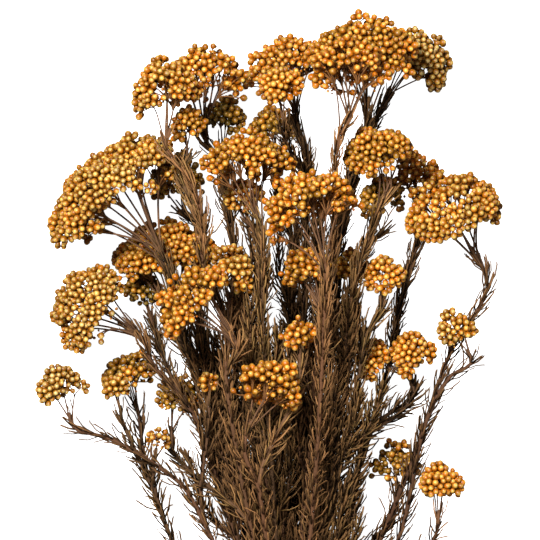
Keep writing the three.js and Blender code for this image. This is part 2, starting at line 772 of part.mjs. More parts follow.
// The tie: turns of twine side by side round the stems, flat where it meets the surface
function tieGeometry() {
  const outer = TIE_BORE + TWINE_THICKNESS;
  const profile = [new THREE.Vector2(TIE_BORE, -TIE_HALF)];
  for (let turn = 0; turn < TWINE_TURNS; turn++) {
    const middle = (turn - (TWINE_TURNS - 1) / 2) * TWINE_PITCH;
    profile.push(new THREE.Vector2(outer - TWINE_DIP, middle - TWINE_PITCH / 2));
    profile.push(new THREE.Vector2(outer, middle - 0.22 * TWINE_PITCH));
    profile.push(new THREE.Vector2(outer, middle + 0.22 * TWINE_PITCH));
  }
  profile.push(new THREE.Vector2(outer - TWINE_DIP, TIE_HALF));
  profile.push(new THREE.Vector2(TIE_BORE, TIE_HALF));
  profile.push(profile[0].clone());
  const ring = new THREE.LatheGeometry(profile, TIE_SIDES, Math.PI / TIE_SIDES);
  ring.deleteAttribute("normal");
  ring.deleteAttribute("uv");
  const geometry = mergeVertices(ring, 1e-4);
  const { position } = geometry.attributes;
  for (let i = 0; i < position.count; i++) {
    position.setZ(i, Math.max(0, position.getZ(i) + TIE_Z));
  }
  return geometry;
}

function meshGeometry(solid) {
  const { vertProperties, triVerts } = solid.getMesh();
  const geometry = new THREE.BufferGeometry();
  geometry.setAttribute("position", new THREE.BufferAttribute(vertProperties, 3));
  geometry.setIndex(new THREE.BufferAttribute(triVerts, 1));
  return geometry;
}

const bark = new THREE.MeshStandardMaterial({ color: "#5d4330", roughness: 0.9, metalness: 0 });
const gold = new THREE.MeshStandardMaterial({ color: "#cf8f2f", roughness: 0.75, metalness: 0 });
const jute = new THREE.MeshStandardMaterial({ color: "#b1946a", roughness: 0.95, metalness: 0 });

const group = new THREE.Group();

function addPiece(name, geometry, material) {
  geometry.computeVertexNormals();
  const mesh = new THREE.Mesh(geometry, material);
  mesh.name = name;
  group.add(mesh);
}

const strands = layStrands(STEMS);
easeStrands(strands);
const paths = strands.map(pathOf);
const tops = strands.map((strand) => strand.top);
const random = makeRandom(SEED);
const headBodies = tops.map((top) => headForm(top, random));

const crowd = new Crowd(CROWD_CELL);
paths.forEach(({ at, total }, index) => {
  for (let s = 0; s < total; s += CROWD_STEP) {
    const low = at(s);
    crowd.add(low.point, at(Math.min(total, s + CROWD_STEP)).point, low.radius + CLEARANCE, index);
  }
});

const numbered = (stem) => String(stem + 1).padStart(2, "0");

STEMS.forEach(({ heads }, stem) => {
  const solids = [];
  strands.forEach((strand, index) => {
    if (strand.stem !== stem) return;
    const form = dressStrand(index, strand, paths[index], headBodies[index], crowd, tops, random);
    solids.push(form.solid());
    const letter = heads.length > 1 ? "abc"[strand.place] : "";
    addPiece(`flower_head_${numbered(stem)}${letter}`, headBodies[index].form.geometry(), gold);
  });
  const whole = solids.reduce((sum, solid) => sum.add(solid));
  addPiece(`leafy_stem_${numbered(stem)}`, meshGeometry(whole), bark);
});

addPiece("twine_tie", tieGeometry(), jute);

export default group;
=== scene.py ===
# %% [markdown]
# # A bunch of dried rice flower
# Rice flower is a small shrub with needle leaves. Its stems branch near the top, and each branch
# ends in a domed head of round papery buds. Here nineteen stems are dyed golden, dried, tied with
# jute twine and laid down. The frame is the solid model of the bunch. This script gives it its
# real leaves, buds and twine, each in the place that the solid model holds for it.

# %% The frame
import json
import math

import bpy
import numpy as np
from mathutils.kdtree import KDTree
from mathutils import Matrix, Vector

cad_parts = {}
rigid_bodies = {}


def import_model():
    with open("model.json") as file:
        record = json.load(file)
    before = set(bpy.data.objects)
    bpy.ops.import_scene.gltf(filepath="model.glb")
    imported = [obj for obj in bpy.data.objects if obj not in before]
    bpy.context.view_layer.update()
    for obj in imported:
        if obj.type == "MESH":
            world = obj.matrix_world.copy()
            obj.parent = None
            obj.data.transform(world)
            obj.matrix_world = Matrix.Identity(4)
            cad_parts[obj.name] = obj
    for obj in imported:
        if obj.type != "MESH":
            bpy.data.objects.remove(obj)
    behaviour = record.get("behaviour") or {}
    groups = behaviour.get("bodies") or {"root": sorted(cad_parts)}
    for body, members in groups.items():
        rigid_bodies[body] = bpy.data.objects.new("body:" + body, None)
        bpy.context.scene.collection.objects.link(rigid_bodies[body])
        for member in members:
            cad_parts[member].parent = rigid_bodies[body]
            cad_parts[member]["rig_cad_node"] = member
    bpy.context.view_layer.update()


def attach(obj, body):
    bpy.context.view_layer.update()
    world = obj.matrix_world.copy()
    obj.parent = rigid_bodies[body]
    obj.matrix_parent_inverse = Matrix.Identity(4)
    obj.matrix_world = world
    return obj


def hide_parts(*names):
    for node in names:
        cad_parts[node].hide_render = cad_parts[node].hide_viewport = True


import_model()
bpy.ops.object.select_all(action="DESELECT")
MM = 0.001
SEED = 20417              # of the solid model's draw and of this script's own
rng = np.random.default_rng(SEED)

# %% [markdown]
# ## Camera, light and floor
# The photograph shows the bunch upright against white, so the camera looks straight down on the
# bunch from far away, with the stems' direction up in the picture. A long lens keeps the heads
# in front from growing. One soft light stands above the bunch, a little to the upper left. A
# weak wide light from the lower right and a faint even surround fill in, and both are kept low
# so that the gaps between the stems stay dark.

# %% Camera, light and floor
CAMERA_AT = (-10 * MM, 260 * MM, 3000 * MM)
PLANE_SEEN = 60 * MM      # the height at which the picture is FIELD wide
FIELD = 270 * MM
SENSOR = 36
LIT_POINT = (-10 * MM, 240 * MM, 70 * MM)
SURROUND = 0.08

camera_data = bpy.data.cameras.new("camera")
camera_data.sensor_width = SENSOR
camera_data.lens = SENSOR * (CAMERA_AT[2] - PLANE_SEEN) / FIELD
camera = bpy.data.objects.new("camera", camera_data)
camera.location = CAMERA_AT
bpy.context.scene.collection.objects.link(camera)
bpy.context.scene.camera = camera


def area_light(name, place, size, watts):
    data = bpy.data.lights.new(name, "AREA")
    data.shape = "DISK"
    data.size = size
    data.energy = watts
    light = bpy.data.objects.new(name, data)
    light.location = place
    direction = Vector(LIT_POINT) - Vector(place)
    light.rotation_euler = direction.to_track_quat("-Z", "Y").to_euler()
    light.visible_camera = False
    bpy.context.scene.collection.objects.link(light)


area_light("key_light", place=(-0.48, 0.85, 2.1), size=0.42, watts=90)
area_light("fill_light", place=(0.9, -0.5, 1.6), size=1.4, watts=9)

world = bpy.data.worlds.new("studio")
world.use_nodes = True
background = world.node_tree.nodes["Background"]
background.inputs["Color"].default_value = (1.0, 0.98, 0.95, 1)
background.inputs["Strength"].default_value = SURROUND
bpy.context.scene.world = world
bpy.context.scene.view_settings.view_transform = "Standard"
print("lens, mm:", round(camera_data.lens))

# %% [markdown]
# ## Colours and nodes
# Paint charts and photographs give colours as sRGB values, and the shaders want linear ones. One
# function turns them. Another adds a shader node with its settings, values and links, and with
# the colours of a ramp where it is one.

# %% Colours and nodes
def linear(text):
    channels = [int(text[i:i + 2], 16) / 255 for i in (1, 3, 5)]
    return [c / 12.92 if c <= 0.04045 else ((c + 0.055) / 1.055) ** 2.4 for c in channels] + [1]


def add_node(tree, kind, settings=None, values=None, links=None, colours=()):
    node = tree.nodes.new(kind)
    for name, value in (settings or {}).items():
        setattr(node, name, value)
    for socket, value in (values or {}).items():
        node.inputs[socket].default_value = value
    for socket, source in (links or {}).items():
        tree.links.new(source, node.inputs[socket])
    if colours:
        elements = node.color_ramp.elements
        while len(elements) < len(colours):
            elements.new(0.5)
        for element, (position, colour) in zip(elements, colours):
            element.position = position
            element.color = linear(colour)
    return node


def new_material(name, roughness):
    material = bpy.data.materials.new(name)
    material.use_nodes = True
    shader = material.node_tree.nodes["Principled BSDF"]
    shader.inputs["Roughness"].default_value = roughness
    return material, material.node_tree, shader


print("sRGB #808080 is linear", round(linear("#808080")[0], 3))

# %% [markdown]
# ## Floor
# The ground is a roll of uncoated white paper, matt, and lit until it is as white as the page.
# Here it glows a little by itself, so that it stays white wherever the bunch throws a shadow,
# and it sends no light back, which keeps the undersides of the heads as dark as in the
# photograph. It isn't part of the bunch, so it isn't attached to the bunch's body.

# %% Floor
FLOOR_WIDTH = 60

floor_material, tree, shader = new_material("white_paper_floor", 0.9)
shader.inputs["Base Color"].default_value = linear("#f4f4f4")
shader.inputs["Emission Color"].default_value = (1, 1, 1, 1)
shader.inputs["Emission Strength"].default_value = 1.0
bpy.ops.mesh.primitive_plane_add(size=FLOOR_WIDTH)
floor = bpy.context.object
floor.name = "floor"
floor.data.materials.append(floor_material)
floor.visible_diffuse = False
floor.visible_glossy = False
bpy.ops.object.select_all(action="DESELECT")
print("floor, m:", FLOOR_WIDTH)

# %% [markdown]
# ## Where each stem and head is
# The table repeats the sizes of the solid model, in millimetres. Each stem has the points that
# it passes on its way up, and its heads, the main one first. A head has its middle, its rim
# radius, the way that it faces (degrees, 90 is up in the picture), the tilt of its face towards
# the camera, the height at which a side branch leaves, the share that its dome rises, and two
# values that only the looks use: the tone of its dye, from 0 for pale cream to 1 for dark olive
# brown, which is also painted shade on heads low in the bunch and painted light on some shaded
# heads, and the width of its buds.

# %% The table of stems
SLOT_SPACING = 3.55
STEM_RADIUS = (1.6, 0.95)
BRANCH_RADIUS = (1.2, 0.85)
TAIL_Y, TAIL_SPREAD, TAIL_LIFT = -68, 1.5, 6
TWINE_TURNS, TWINE_PITCH, TWINE_THICKNESS = 5, 2.2, 2.3
TIE_BORE = 2 * SLOT_SPACING + STEM_RADIUS[0] + 0.35
TIE_Z = TIE_BORE + TWINE_THICKNESS - 0.45
BOUND_HALF = TWINE_TURNS * TWINE_PITCH / 2 + 0.5
NECK_LEAN, NECK_SHARE, NECK_DROP, CLIMB_START, CLIMB_END = 0.6, 0.3, 4, 0.35, 1.1
PLANE_STEP, STEM_GAP, HEAD_GAP, FLOOR_GAP, EASE_ROUNDS = 4, 1.3, 4.2, 1.2, 160
BUMP_RISE, WANDER, RIM_DROOP, MIDDLE_UP, HUB_DROP, HUB_BELOW = 0.32, 0.16, 0.22, 0.35, 0.95, 2

STEMS = [
    ([(-30, 270), (-45, 305)], [
        (-62.5, 353.5, 98, 18.7, 98, -12, None, 0.7, 0.28, 3.2),
        (-50.5, 334, 79, 11, 95, 8, 270, 0.85, 0.56, 3.1)]),
    ([(-34, 315)], [
        (-42.5, 362, 50, 22, 89, -12, None, 0.72, 0.36, 3.25),
        (-32.5, 340, 24, 12, 85, 10, 280, 0.8, 0.74, 3.2)]),
    ([(9, 315)], [
        (-2, 369, 31, 22.5, 100, -2, None, 0.62, 0.42, 3.2),
        (-5, 354, 78, 13, 95, 8, 300, 0.7, 0.36, 3.2),
        (-8, 336, 21, 14.5, 92, 10, 250, 0.75, 0.66, 3.2)]),
    ([(18, 290), (21, 325)], [
        (28.3, 364, 105, 22, 92, -18, None, 0.76, 0.42, 3.3)]),
    ([(28, 270), (32, 315)], [
        (36, 377.5, 66, 28.5, 93, 2, None, 0.48, 0.54, 3.3),
        (69, 370, 19, 20.5, 48, 0, 270, 0.65, 0.08, 3.2)]),
    ([(-52, 215)], [
        (-96, 307.5, 68, 37, 131, 11, None, 0.34, 0.24, 3.15)]),
    ([(-38, 200)], [
        (-64.5, 274.5, 27, 27.5, 98, 13, None, 0.48, 0.52, 3.25),
        (-57, 309, 26, 15.5, 95, 30, 200, 0.9, 0.74, 3.2)]),
    ([(-14, 240), (-14, 285)], [
        (-20, 320, 104, 23.5, 91, 2, None, 0.52, 0.54, 3.2),
        (-23.5, 299, 74, 10.5, 95, 20, 240, 0.9, 0.25, 3.1)]),
    ([(34, 235), (42, 268), (49, 292)], [
        (43.5, 323, 96, 19.7, 105, 8, None, 0.5, 0.56, 3.2),
        (45.5, 299, 64, 13, 95, 5, 250, 0.8, 0.72, 3.1)]),
    ([(47.5, 130), (64, 175), (78, 222)], [
        (77.8, 295, 78, 26.7, 115, 27, None, 0.52, 0.28, 3.25)]),
    ([(14, 180), (17, 245)], [
        (7.8, 297.5, 121, 24.5, 105, -15, None, 0.54, 0.50, 3.5),
        (5, 264, 94, 14, 115, 15, 215, 0.7, 0.50, 3.4)]),
    ([(-45, 180), (-70, 215)], [
        (-106.5, 244, 70, 24.5, 154, 26, None, 0.46, 0.14, 3.15),
        (-74, 252, 14, 11, 100, 20, 190, 0.8, 0.72, 3.1)]),
    ([(-32, 209)], [
        (-53, 249, 112, 22.5, 138, 12, None, 0.5, 0.50, 3.4),
        (-28.5, 262, 84, 13, 85, 15, 200, 0.75, 0.24, 3.3),
        (-56, 199, 34, 13.5, 78, 12, 130, 0.78, 0.68, 3.1)]),
    ([(-50, 147), (-90, 176)], [
        (-115.5, 204, 70, 12, 108, 15, None, 0.75, 0.08, 3.0),
        (-41, 205, 62, 5.5, 95, 20, 125, 0.62, 0.30, 3.1)]),
    ([(-60, 125), (-67, 145), (-80, 175)], [
        (-87, 203, 58, 8, 100, 15, None, 0.62, 0.14, 3.1),
        (-82.5, 211.5, 34, 15.5, 105, 10, 150, 0.6, 0.62, 3.2),
        (-66, 177, 62, 6.5, 80, 25, 130, 0.8, 0.24, 3.1)]),
    ([(-15, 150)], [
        (-7, 206.5, 112, 18.5, 60, -8, None, 0.68, 0.50, 3.55),
        (3.5, 230.5, 94, 9.5, 95, 22, 150, 0.8, 0.44, 3.4)]),
    ([(55, 125), (67, 180), (80, 207)], [
        (81, 233, 62, 11, 120, 15, None, 0.7, 0.22, 3.1),
        (74.5, 156.5, 74, 12, 88, 8, 85, 0.62, 0.42, 3.2)]),
    ([(47.5, 195), (56, 245)], [
        (64, 311, 47, 14.5, 92, 10, None, 0.7, 0.36, 3.15),
        (62, 220.5, 48, 13, 90, 20, 180, 0.85, 0.46, 3.1),
        (54, 165, 26, 14, 90, 22, 100, 0.7, 0.62, 3.1)]),
    ([(38, 228)], [
        (46.5, 260, 80, 11, 85, 20, None, 0.8, 0.34, 3.3),
        (30, 263.5, 56, 10.5, 95, 20, 215, 0.8, 0.60, 3.2),
        (39, 217, 52, 12.5, 155, 22, 165, 0.6, 0.34, 3.1)]),
]


def unit(v):
    return v / np.linalg.norm(v, axis=-1, keepdims=True)


class Head:
    def __init__(self, x, y, z, radius, facing, tilt, fork, dome, tone, bud):
        turn, lift = math.radians(facing), math.radians(tilt)
        flat = math.cos(lift)
        self.axis = np.array([math.cos(turn) * flat, math.sin(turn) * flat, math.sin(lift)])
        self.radius, self.rise, self.fork = radius, dome * radius, fork
        self.rim = np.array([x, y, z]) - MIDDLE_UP * self.rise * self.axis
        self.hub = self.rim - (HUB_DROP * radius + HUB_BELOW) * self.axis
        self.tone, self.bud = tone, bud / 2


print("stems:", len(STEMS), "heads:", sum(len(heads) for _, heads in STEMS))

# %% [markdown]
# ## Places in the tie
# Nineteen stems pass through one tie, packed as round rods pack: one in the middle, a ring of
# six and a ring of twelve. A stem takes the place nearest to the side where its head is, and two
# stems swap places as long as that brings both together nearer. The steps and numbers from here
# to the finished paths are the solid model's own, so the paths agree with it.

# %% Places in the tie
def tie_slots():
    slots = []
    for ring in range(3):
        for i in range(max(1, 6 * ring)):
            side = i // max(1, ring)
            along = (i % ring) / ring if ring else 0
            one, two = side * math.pi / 3, (side + 1) * math.pi / 3
            slots.append([ring * SLOT_SPACING * ((1 - along) * turn(one) + along * turn(two))
                          for turn in (math.cos, math.sin)])
    return np.array(slots)


def share_slots(stems):
    slots = tie_slots()
    pulls = np.array([[via[0][0] / via[0][1], (heads[0].hub[2] - TIE_Z) / heads[0].hub[1]]
                      for via, heads in stems])
    wanted = (pulls - pulls.mean(0)) / pulls.std(0) * slots.std(0)
    taken = list(range(len(stems)))

    def cost(i, s):
        return ((wanted[i] - slots[s]) ** 2).sum()

    better = True
    while better:
        better = False
        for i in range(len(taken)):
            for j in range(i + 1, len(taken)):
                now = cost(i, taken[i]) + cost(j, taken[j])
                if cost(i, taken[j]) + cost(j, taken[i]) < now - 1e-9:
                    taken[i], taken[j] = taken[j], taken[i]
                    better = True
    return slots[taken]


print("places in the tie:", len(tie_slots()))

# %% [markdown]
# ## First paths
# Each path starts as a smooth curve. It leaves the tie nearly straight, passes the points of its
# table row, and leans into the neck of its head towards where the head faces. A side branch
# starts on its main stem, with the main stem's own slope, so the fork has no kink. Below the tie
# the stems spread a little again, as the tails of a bunch do.

# %% First paths
def hermite(u):
    """The four weights of a smooth curve: start, leaving slope, end and arriving slope."""
    return 2 * u**3 - 3 * u**2 + 1, u**3 - 2 * u**2 + u, 3 * u**2 - 2 * u**3, u**3 - u**2


def smooth_at(y, knots, slope_in, slope_out):
    last = len(knots) - 1

    def slope(i):
        if i in (0, last):
            return slope_out if i else slope_in
        return (knots[i + 1][1] - knots[i - 1][1]) / (knots[i + 1][0] - knots[i - 1][0])

    i = 0
    while i < last - 1 and y > knots[i + 1][0]:
        i += 1
    span = knots[i + 1][0] - knots[i][0]
    start, leave, end, arrive = hermite((y - knots[i][0]) / span)
    return (knots[i][1] * start + slope(i) * span * leave
            + knots[i + 1][1] * end + slope(i + 1) * span * arrive)


def radius_at(place, u):
    if place:
        return BRANCH_RADIUS[0] + (BRANCH_RADIUS[1] - BRANCH_RADIUS[0]) * u
    return STEM_RADIUS[0] + (STEM_RADIUS[1] - STEM_RADIUS[0]) * np.maximum(0, 1.3 * u - 0.3)


class Course:
    """The first curve of one branch, from the tie or its fork to the neck of its head."""
    def __init__(self, top, via, main, slot):
        self.neck_y = top.hub[1] - NECK_SHARE * top.radius - NECK_DROP
        self.start_y = top.fork if main else BOUND_HALF
        start_x = main.x(self.start_y) if main else slot[0]
        start_z = main.z(self.start_y) if main else TIE_Z + slot[1]
        self.lean_x = NECK_LEAN * top.axis[0] / max(0.5, top.axis[1])
        neck_x = top.hub[0] - self.lean_x * (top.hub[1] - self.neck_y)
        self.climb = (top.hub[2] - start_z) / (self.neck_y - self.start_y)
        self.slope_x, self.slope_z = 0, CLIMB_START * self.climb
        if main:
            self.slope_x = (main.x(self.start_y) - main.x(self.start_y - 2)) / 2
            self.slope_z = (main.z(self.start_y) - main.z(self.start_y - 2)) / 2
        passed = [] if main else [(y, x) for x, y in via]
        self.knots_x = [(self.start_y, start_x), *passed, (self.neck_y, neck_x)]
        self.knots_z = [(self.start_y, start_z), (self.neck_y, top.hub[2])]

    def x(self, y):
        return smooth_at(y, self.knots_x, self.slope_x, self.lean_x)

    def z(self, y):
        return smooth_at(y, self.knots_z, self.slope_z, CLIMB_END * self.climb)


def tail_at(y, slot):
    u = max(0, (-BOUND_HALF - y) / (-BOUND_HALF - TAIL_Y))
    flare = 1 + (TAIL_SPREAD - 1) * hermite(u)[2]
    return slot[0] * flare, y, TIE_Z + slot[1] * flare + TAIL_LIFT * u * u


class Strand:
    """A branch as points, one on each level plane that it crosses."""
    def __init__(self, stem, place, top, course, slot):
        self.stem, self.place, self.top = stem, place, top
        self.first = math.ceil((course.start_y - TAIL_Y) / PLANE_STEP) if place else 0
        self.last = math.floor((course.neck_y - TAIL_Y) / PLANE_STEP)
        points = []
        for k in range(self.first, self.last + 1):
            y = TAIL_Y + k * PLANE_STEP
            bound = not place and y < course.start_y
            points.append(tail_at(y, slot) if bound else (course.x(y), y, course.z(y)))
        self.points = np.array(points, float)
        self.radii = radius_at(place, np.linspace(0, 1, len(points)))
        self.held = self.points[:, 1] < BOUND_HALF + 3
        if place:
            self.held = np.arange(len(points)) == 0


def lay_strands():
    stems = [(via, [Head(*row) for row in heads]) for via, heads in STEMS]
    slots = share_slots(stems)
    strands = []
    for stem, (via, heads) in enumerate(stems):
        main = None
        for place, top in enumerate(heads):
            course = Course(top, via, main, slots[stem])
            strands.append(Strand(stem, place, top, course, slots[stem]))
            main = main or course
    return strands


strands = lay_strands()
print("strands:", len(strands))

# %% [markdown]
# ## Stems that part
# In the bunch the stems part round each other and round the heads. Plane by plane, paths that
# come too close push each other away sideways, heads push away the stems of others, and nothing
# sinks into the ground. After each round the shifts are evened along each stem, because wood
# bends and doesn't kink. Points in the tie are held, and a side branch keeps its foot on its
# main stem.

# %% Stems that part
def ease(strands):
    count, planes = len(strands), max(s.last for s in strands) + 1
    spots = np.full((count, planes, 3), np.nan)
    radii = np.zeros((count, planes))
    held = np.zeros((count, planes), bool)
    for s, strand in enumerate(strands):
        span = slice(strand.first, strand.last + 1)
        spots[s, span], radii[s, span], held[s, span] = strand.points, strand.radii, strand.held
    starts = spots.copy()
    stem = np.array([s.stem for s in strands])
    mains = [int(np.flatnonzero(stem == s.stem)[0]) for s in strands]
    apart_stems = (stem[:, None] != stem[None])[:, :, None]
    here = np.arange(planes)[None]
    first = np.array([[s.first] for s in strands])
    last = np.array([[s.last] for s in strands])
    below = np.clip(here - 1, first, last)
    above = np.clip(here + 1, first, last)
    rows = np.arange(count)[:, None]
    middles = np.array([s.top.rim + 0.4 * s.top.rise * s.top.axis for s in strands])
    axes = np.array([s.top.axis for s in strands])
    reach = np.array([s.top.radius + HEAD_GAP for s in strands])[None, :, None]
    depth = np.array([0.6 * s.top.rise + HEAD_GAP for s in strands])[None, :, None]
    others = ~np.eye(count, dtype=bool)[:, :, None]
    for _ in range(EASE_ROUNDS):
        slopes = unit(spots[rows, above] - spots[rows, below])
        apart = spots[None] - spots[:, None]
        distance = np.linalg.norm(apart, axis=3) + 1e-12
        along = unit(slopes[None] + slopes[:, None])
        across = np.sqrt(np.maximum(1e-6, distance**2 - (apart * along).sum(3) ** 2))
        need = radii[None] + radii[:, None] + STEM_GAP
        close = apart_stems & (distance <= 3 * need) & (across < need)
        push = 0.5 * (need - across) * np.minimum(2, distance / across) / distance
        pushes = -np.where(close[..., None], apart * push[..., None], 0).sum(1)
        off = spots[:, None] - middles[None, :, None]
        up = (off * axes[None, :, None]).sum(3)
        side = off - up[..., None] * axes[None, :, None]
        inside = np.hypot(up / depth, np.linalg.norm(side, axis=3) / reach)
        out = side / reach[..., None] ** 2 + axes[None, :, None] * (up / depth**2)[..., None]
        flat = np.hypot(out[..., 0], out[..., 2])
        out *= (0.5 * (1 - inside) * depth / flat)[..., None]
        pushes += np.where(((inside < 1) & others)[..., None], out, 0).sum(1)
        moved = spots + pushes * [1, 0, 1]
        moved[..., 2] = np.maximum(moved[..., 2], radii + FLOOR_GAP)
        shifts = np.where(held[..., None], spots, moved) - starts
        for s, strand in enumerate(strands):
            if strand.place:
                k = strand.first
                spots[s, k] = starts[mains[s], k] + shifts[mains[s], k]
                shifts[s, k] = spots[s, k] - starts[s, k]
        even = 0.5 * shifts + 0.25 * shifts[rows, below] + 0.25 * shifts[rows, above]
        spots = np.where(held[..., None], spots, starts + even)
    for s, strand in enumerate(strands):
        strand.points = spots[s, strand.first:strand.last + 1]


ease(strands)
print("lowest point of a path, mm:", round(min(s.points[:, 2].min() for s in strands), 1))

# %% [markdown]
# ## Along a path
# Needles, rays and bark are all set at a length along a stem. So each path gets its last bend
# from the neck to the middle of its head, and is measured from its start.

# %% Along a path
def along_line(lengths, marks, rows):
    """Rows of numbers known at the marks of a line, worked out at other lengths along it."""
    return np.stack([np.interp(lengths, marks, column) for column in rows.T], 1)


class Path:
    """A finished path, with its point, direction and radius at any length along it."""
    def __init__(self, strand):
        neck, hub = strand.points[-1], strand.top.hub
        span = np.linalg.norm(hub - neck)
        going = span * unit(neck - strand.points[-2])
        steps = max(2, round(span / PLANE_STEP))
        bend = []
        for i in range(1, steps + 1):
            start, leave, end, arrive = hermite(i / steps)
            bend.append(neck * start + going * leave + hub * end + strand.top.axis * span * arrive)
        self.points = np.vstack([strand.points, bend])
        hops = np.linalg.norm(np.diff(self.points, axis=0), axis=1)
        self.lengths = np.concatenate([[0], np.cumsum(hops)])
        self.total = self.lengths[-1]
        self.place = strand.place
        self.slopes = unit(np.gradient(self.points, axis=0))

    def at(self, s):
        s = np.atleast_1d(s)
        tangent = unit(along_line(s, self.lengths, self.slopes))
        return along_line(s, self.lengths, self.points), tangent, radius_at(self.place, s / self.total)

    def length_to(self, y):
        return np.interp(y, self.points[:, 1], self.lengths)


paths = [Path(strand) for strand in strands]
print("longest path, mm:", round(max(path.total for path in paths)))

# %% [markdown]
# ## Small shapes, modelled once
# A bud, an unripe bud, a needle leaf and a pedicel are each repeated thousands of times, so each
# is modelled once, as by hand, with few faces, and then copied. A bud is a sphere drawn out to
# its tip and to its stalk. A needle is a triangle extruded in steps that narrow and bend, with
# its end closed to a point. Three needles with different bends keep the foliage from looking
# combed.

# %% Small shapes
BUD_FOOT, BUD_TIP = 0.22, 0.06
NEEDLE_LENGTH = 12                  # of the straight needle
NEEDLE_WIDTHS = (1.0, 0.94, 0.8)    # of each step, as a share of the step before


def take_shape(name, tip_from):
    """Keeps the new object's points and faces, with a tip value from 0 at tip_from to 1."""
    shape = bpy.context.object
    shape.name = name
    verts = np.array([v.co[:] for v in shape.data.vertices])
    faces = [list(p.vertices) for p in shape.data.polygons]
    up = verts[:, 2] / verts[:, 2].max()
    tip = np.clip((up - tip_from) / (1 - tip_from), 0, 1)
    bpy.data.objects.remove(shape, do_unlink=True)
    flat = np.array([v for face in faces for v in face])
    sizes = np.array([len(face) for face in faces])
    print(name, "faces:", len(faces))
    return {"verts": verts, "flat": flat, "sizes": sizes, "tip": tip}


def choose(test):
    """Selects the vertices that pass the test, in edit mode."""
    bpy.ops.mesh.select_all(action="DESELECT")
    bpy.ops.object.mode_set(mode="OBJECT")
    for v in bpy.context.object.data.vertices:
        v.select = bool(test(v.co))
    bpy.ops.object.mode_set(mode="EDIT")


def model_bud(name, segments, rings):
    """A ball with its lowest point drawn down to the stalk and its top one drawn up to a tip."""
    bpy.ops.mesh.primitive_uv_sphere_add(segments=segments, ring_count=rings, radius=1)
    bpy.ops.object.mode_set(mode="EDIT")
    bpy.ops.mesh.select_mode(type="VERT")
    choose(lambda co: co.z < -0.95)
    bpy.ops.transform.translate(value=(0, 0, -BUD_FOOT))
    choose(lambda co: -0.95 < co.z < -0.6)
    bpy.ops.transform.resize(value=(0.86, 0.86, 1))
    choose(lambda co: co.z > 0.95)
    bpy.ops.transform.translate(value=(0, 0, BUD_TIP))
    bpy.ops.object.mode_set(mode="OBJECT")
    return take_shape(name, 0.15)


def model_needle(name, bends):
    """A needle leaf, flat above and keeled below: a flattened triangle extruded upwards."""
    bpy.ops.mesh.primitive_circle_add(vertices=3, radius=0.6, fill_type="NGON")
    bpy.ops.object.mode_set(mode="EDIT")
    bpy.ops.mesh.select_all(action="SELECT")
    bpy.ops.transform.resize(value=(1, 0.6, 1))
    for (rise, bend), width in zip(bends, NEEDLE_WIDTHS):
        bpy.ops.mesh.extrude_region_move(TRANSFORM_OT_translate={"value": (0, bend, rise)})
        bpy.ops.transform.resize(value=(width, width, 1))
    bpy.ops.mesh.merge(type="CENTER")
    bpy.ops.object.mode_set(mode="OBJECT")
    return take_shape(name, 0)


bud_shape = model_bud("bud", 7, 5)
unripe_shape = model_bud("unripe_bud", 5, 4)
needle_shapes = [
    model_needle("straight_needle", [(5, 0.5), (5.6, -0.4), (1.4, -0.3)]),
    model_needle("bowed_needle", [(4.8, 1.9), (5.2, 0.0), (1.5, -0.9)]),
    model_needle("curled_needle", [(4.6, 0.2), (4.7, 1.7), (1.0, 1.0)]),
]
bpy.ops.mesh.primitive_cone_add(vertices=3, radius1=1, radius2=1, depth=1, location=(0, 0, 0.5))
bpy.ops.object.transform_apply(location=True)
pedicel_shape = take_shape("pedicel", 0)

# %% [markdown]
# ## Copies and pieces
# A copy is its template turned, scaled and moved. All copies of a piece are worked out together
# as arrays and joined in one mesh, which keeps thousands of them quick to build. Each vertex
# also keeps three values for the materials: a tone, a light or dark shade that its whole copy
# shares, and how near it is to the tip. On the heads the tone also holds painted shade and light,
# and on the stems and needles the shade holds painted light and shade. No point of a piece sinks
# into the ground.

# %% Copies and pieces
VERTEX_VALUES = ("tone", "shade", "tip")


def copies(shape, places, axes, tone, shade, slot=0):
    """Copies of a shape: places (n, 3) and axes (n, 3, 3), whose columns are x, y and z."""
    count, size = len(places), len(shape["verts"])
    verts = np.einsum("nij,vj->nvi", axes, shape["verts"]) + places[:, None]
    offsets = (np.arange(count) * size)[:, None]
    return {
        "verts": verts.reshape(-1, 3),
        "flat": (shape["flat"][None] + offsets).ravel(),
        "sizes": np.tile(shape["sizes"], count),
        "slot": slot,
        "tone": np.repeat(np.broadcast_to(tone, count), size),
        "shade": np.repeat(np.broadcast_to(shade, count), size),
        "tip": np.tile(shape["tip"], count),
    }


def make_mesh(name, blocks, materials):
    """One object of all the blocks, in metres, with its place in its mesh."""
    starts = np.cumsum([0] + [len(b["verts"]) for b in blocks[:-1]])
    verts = np.vstack([b["verts"] for b in blocks]) * MM
    verts[:, 2] = np.maximum(verts[:, 2], 0)
    flat = np.concatenate([b["flat"] + start for b, start in zip(blocks, starts)])
    sizes = np.concatenate([b["sizes"] for b in blocks])
    slots = np.concatenate([np.full(len(b["sizes"]), b["slot"]) for b in blocks])
    mesh = bpy.data.meshes.new(name)
    mesh.vertices.add(len(verts))
    mesh.vertices.foreach_set("co", verts.ravel())
    mesh.loops.add(len(flat))
    mesh.loops.foreach_set("vertex_index", flat.astype(np.int32))
    mesh.polygons.add(len(sizes))
    mesh.polygons.foreach_set("loop_start", (np.cumsum(sizes) - sizes).astype(np.int32))
    mesh.polygons.foreach_set("material_index", slots.astype(np.int32))
    mesh.polygons.foreach_set("use_smooth", np.ones(len(sizes), bool))
    for key in VERTEX_VALUES:
        values = np.concatenate([b[key] for b in blocks]).astype(np.float32)
        mesh.attributes.new(key, "FLOAT", "POINT").data.foreach_set("value", values)
    mesh.update(calc_edges=True)
    mesh.validate()
    for material in materials:
        mesh.materials.append(material)
    piece = bpy.data.objects.new(name, mesh)
    bpy.context.scene.collection.objects.link(piece)
    return piece


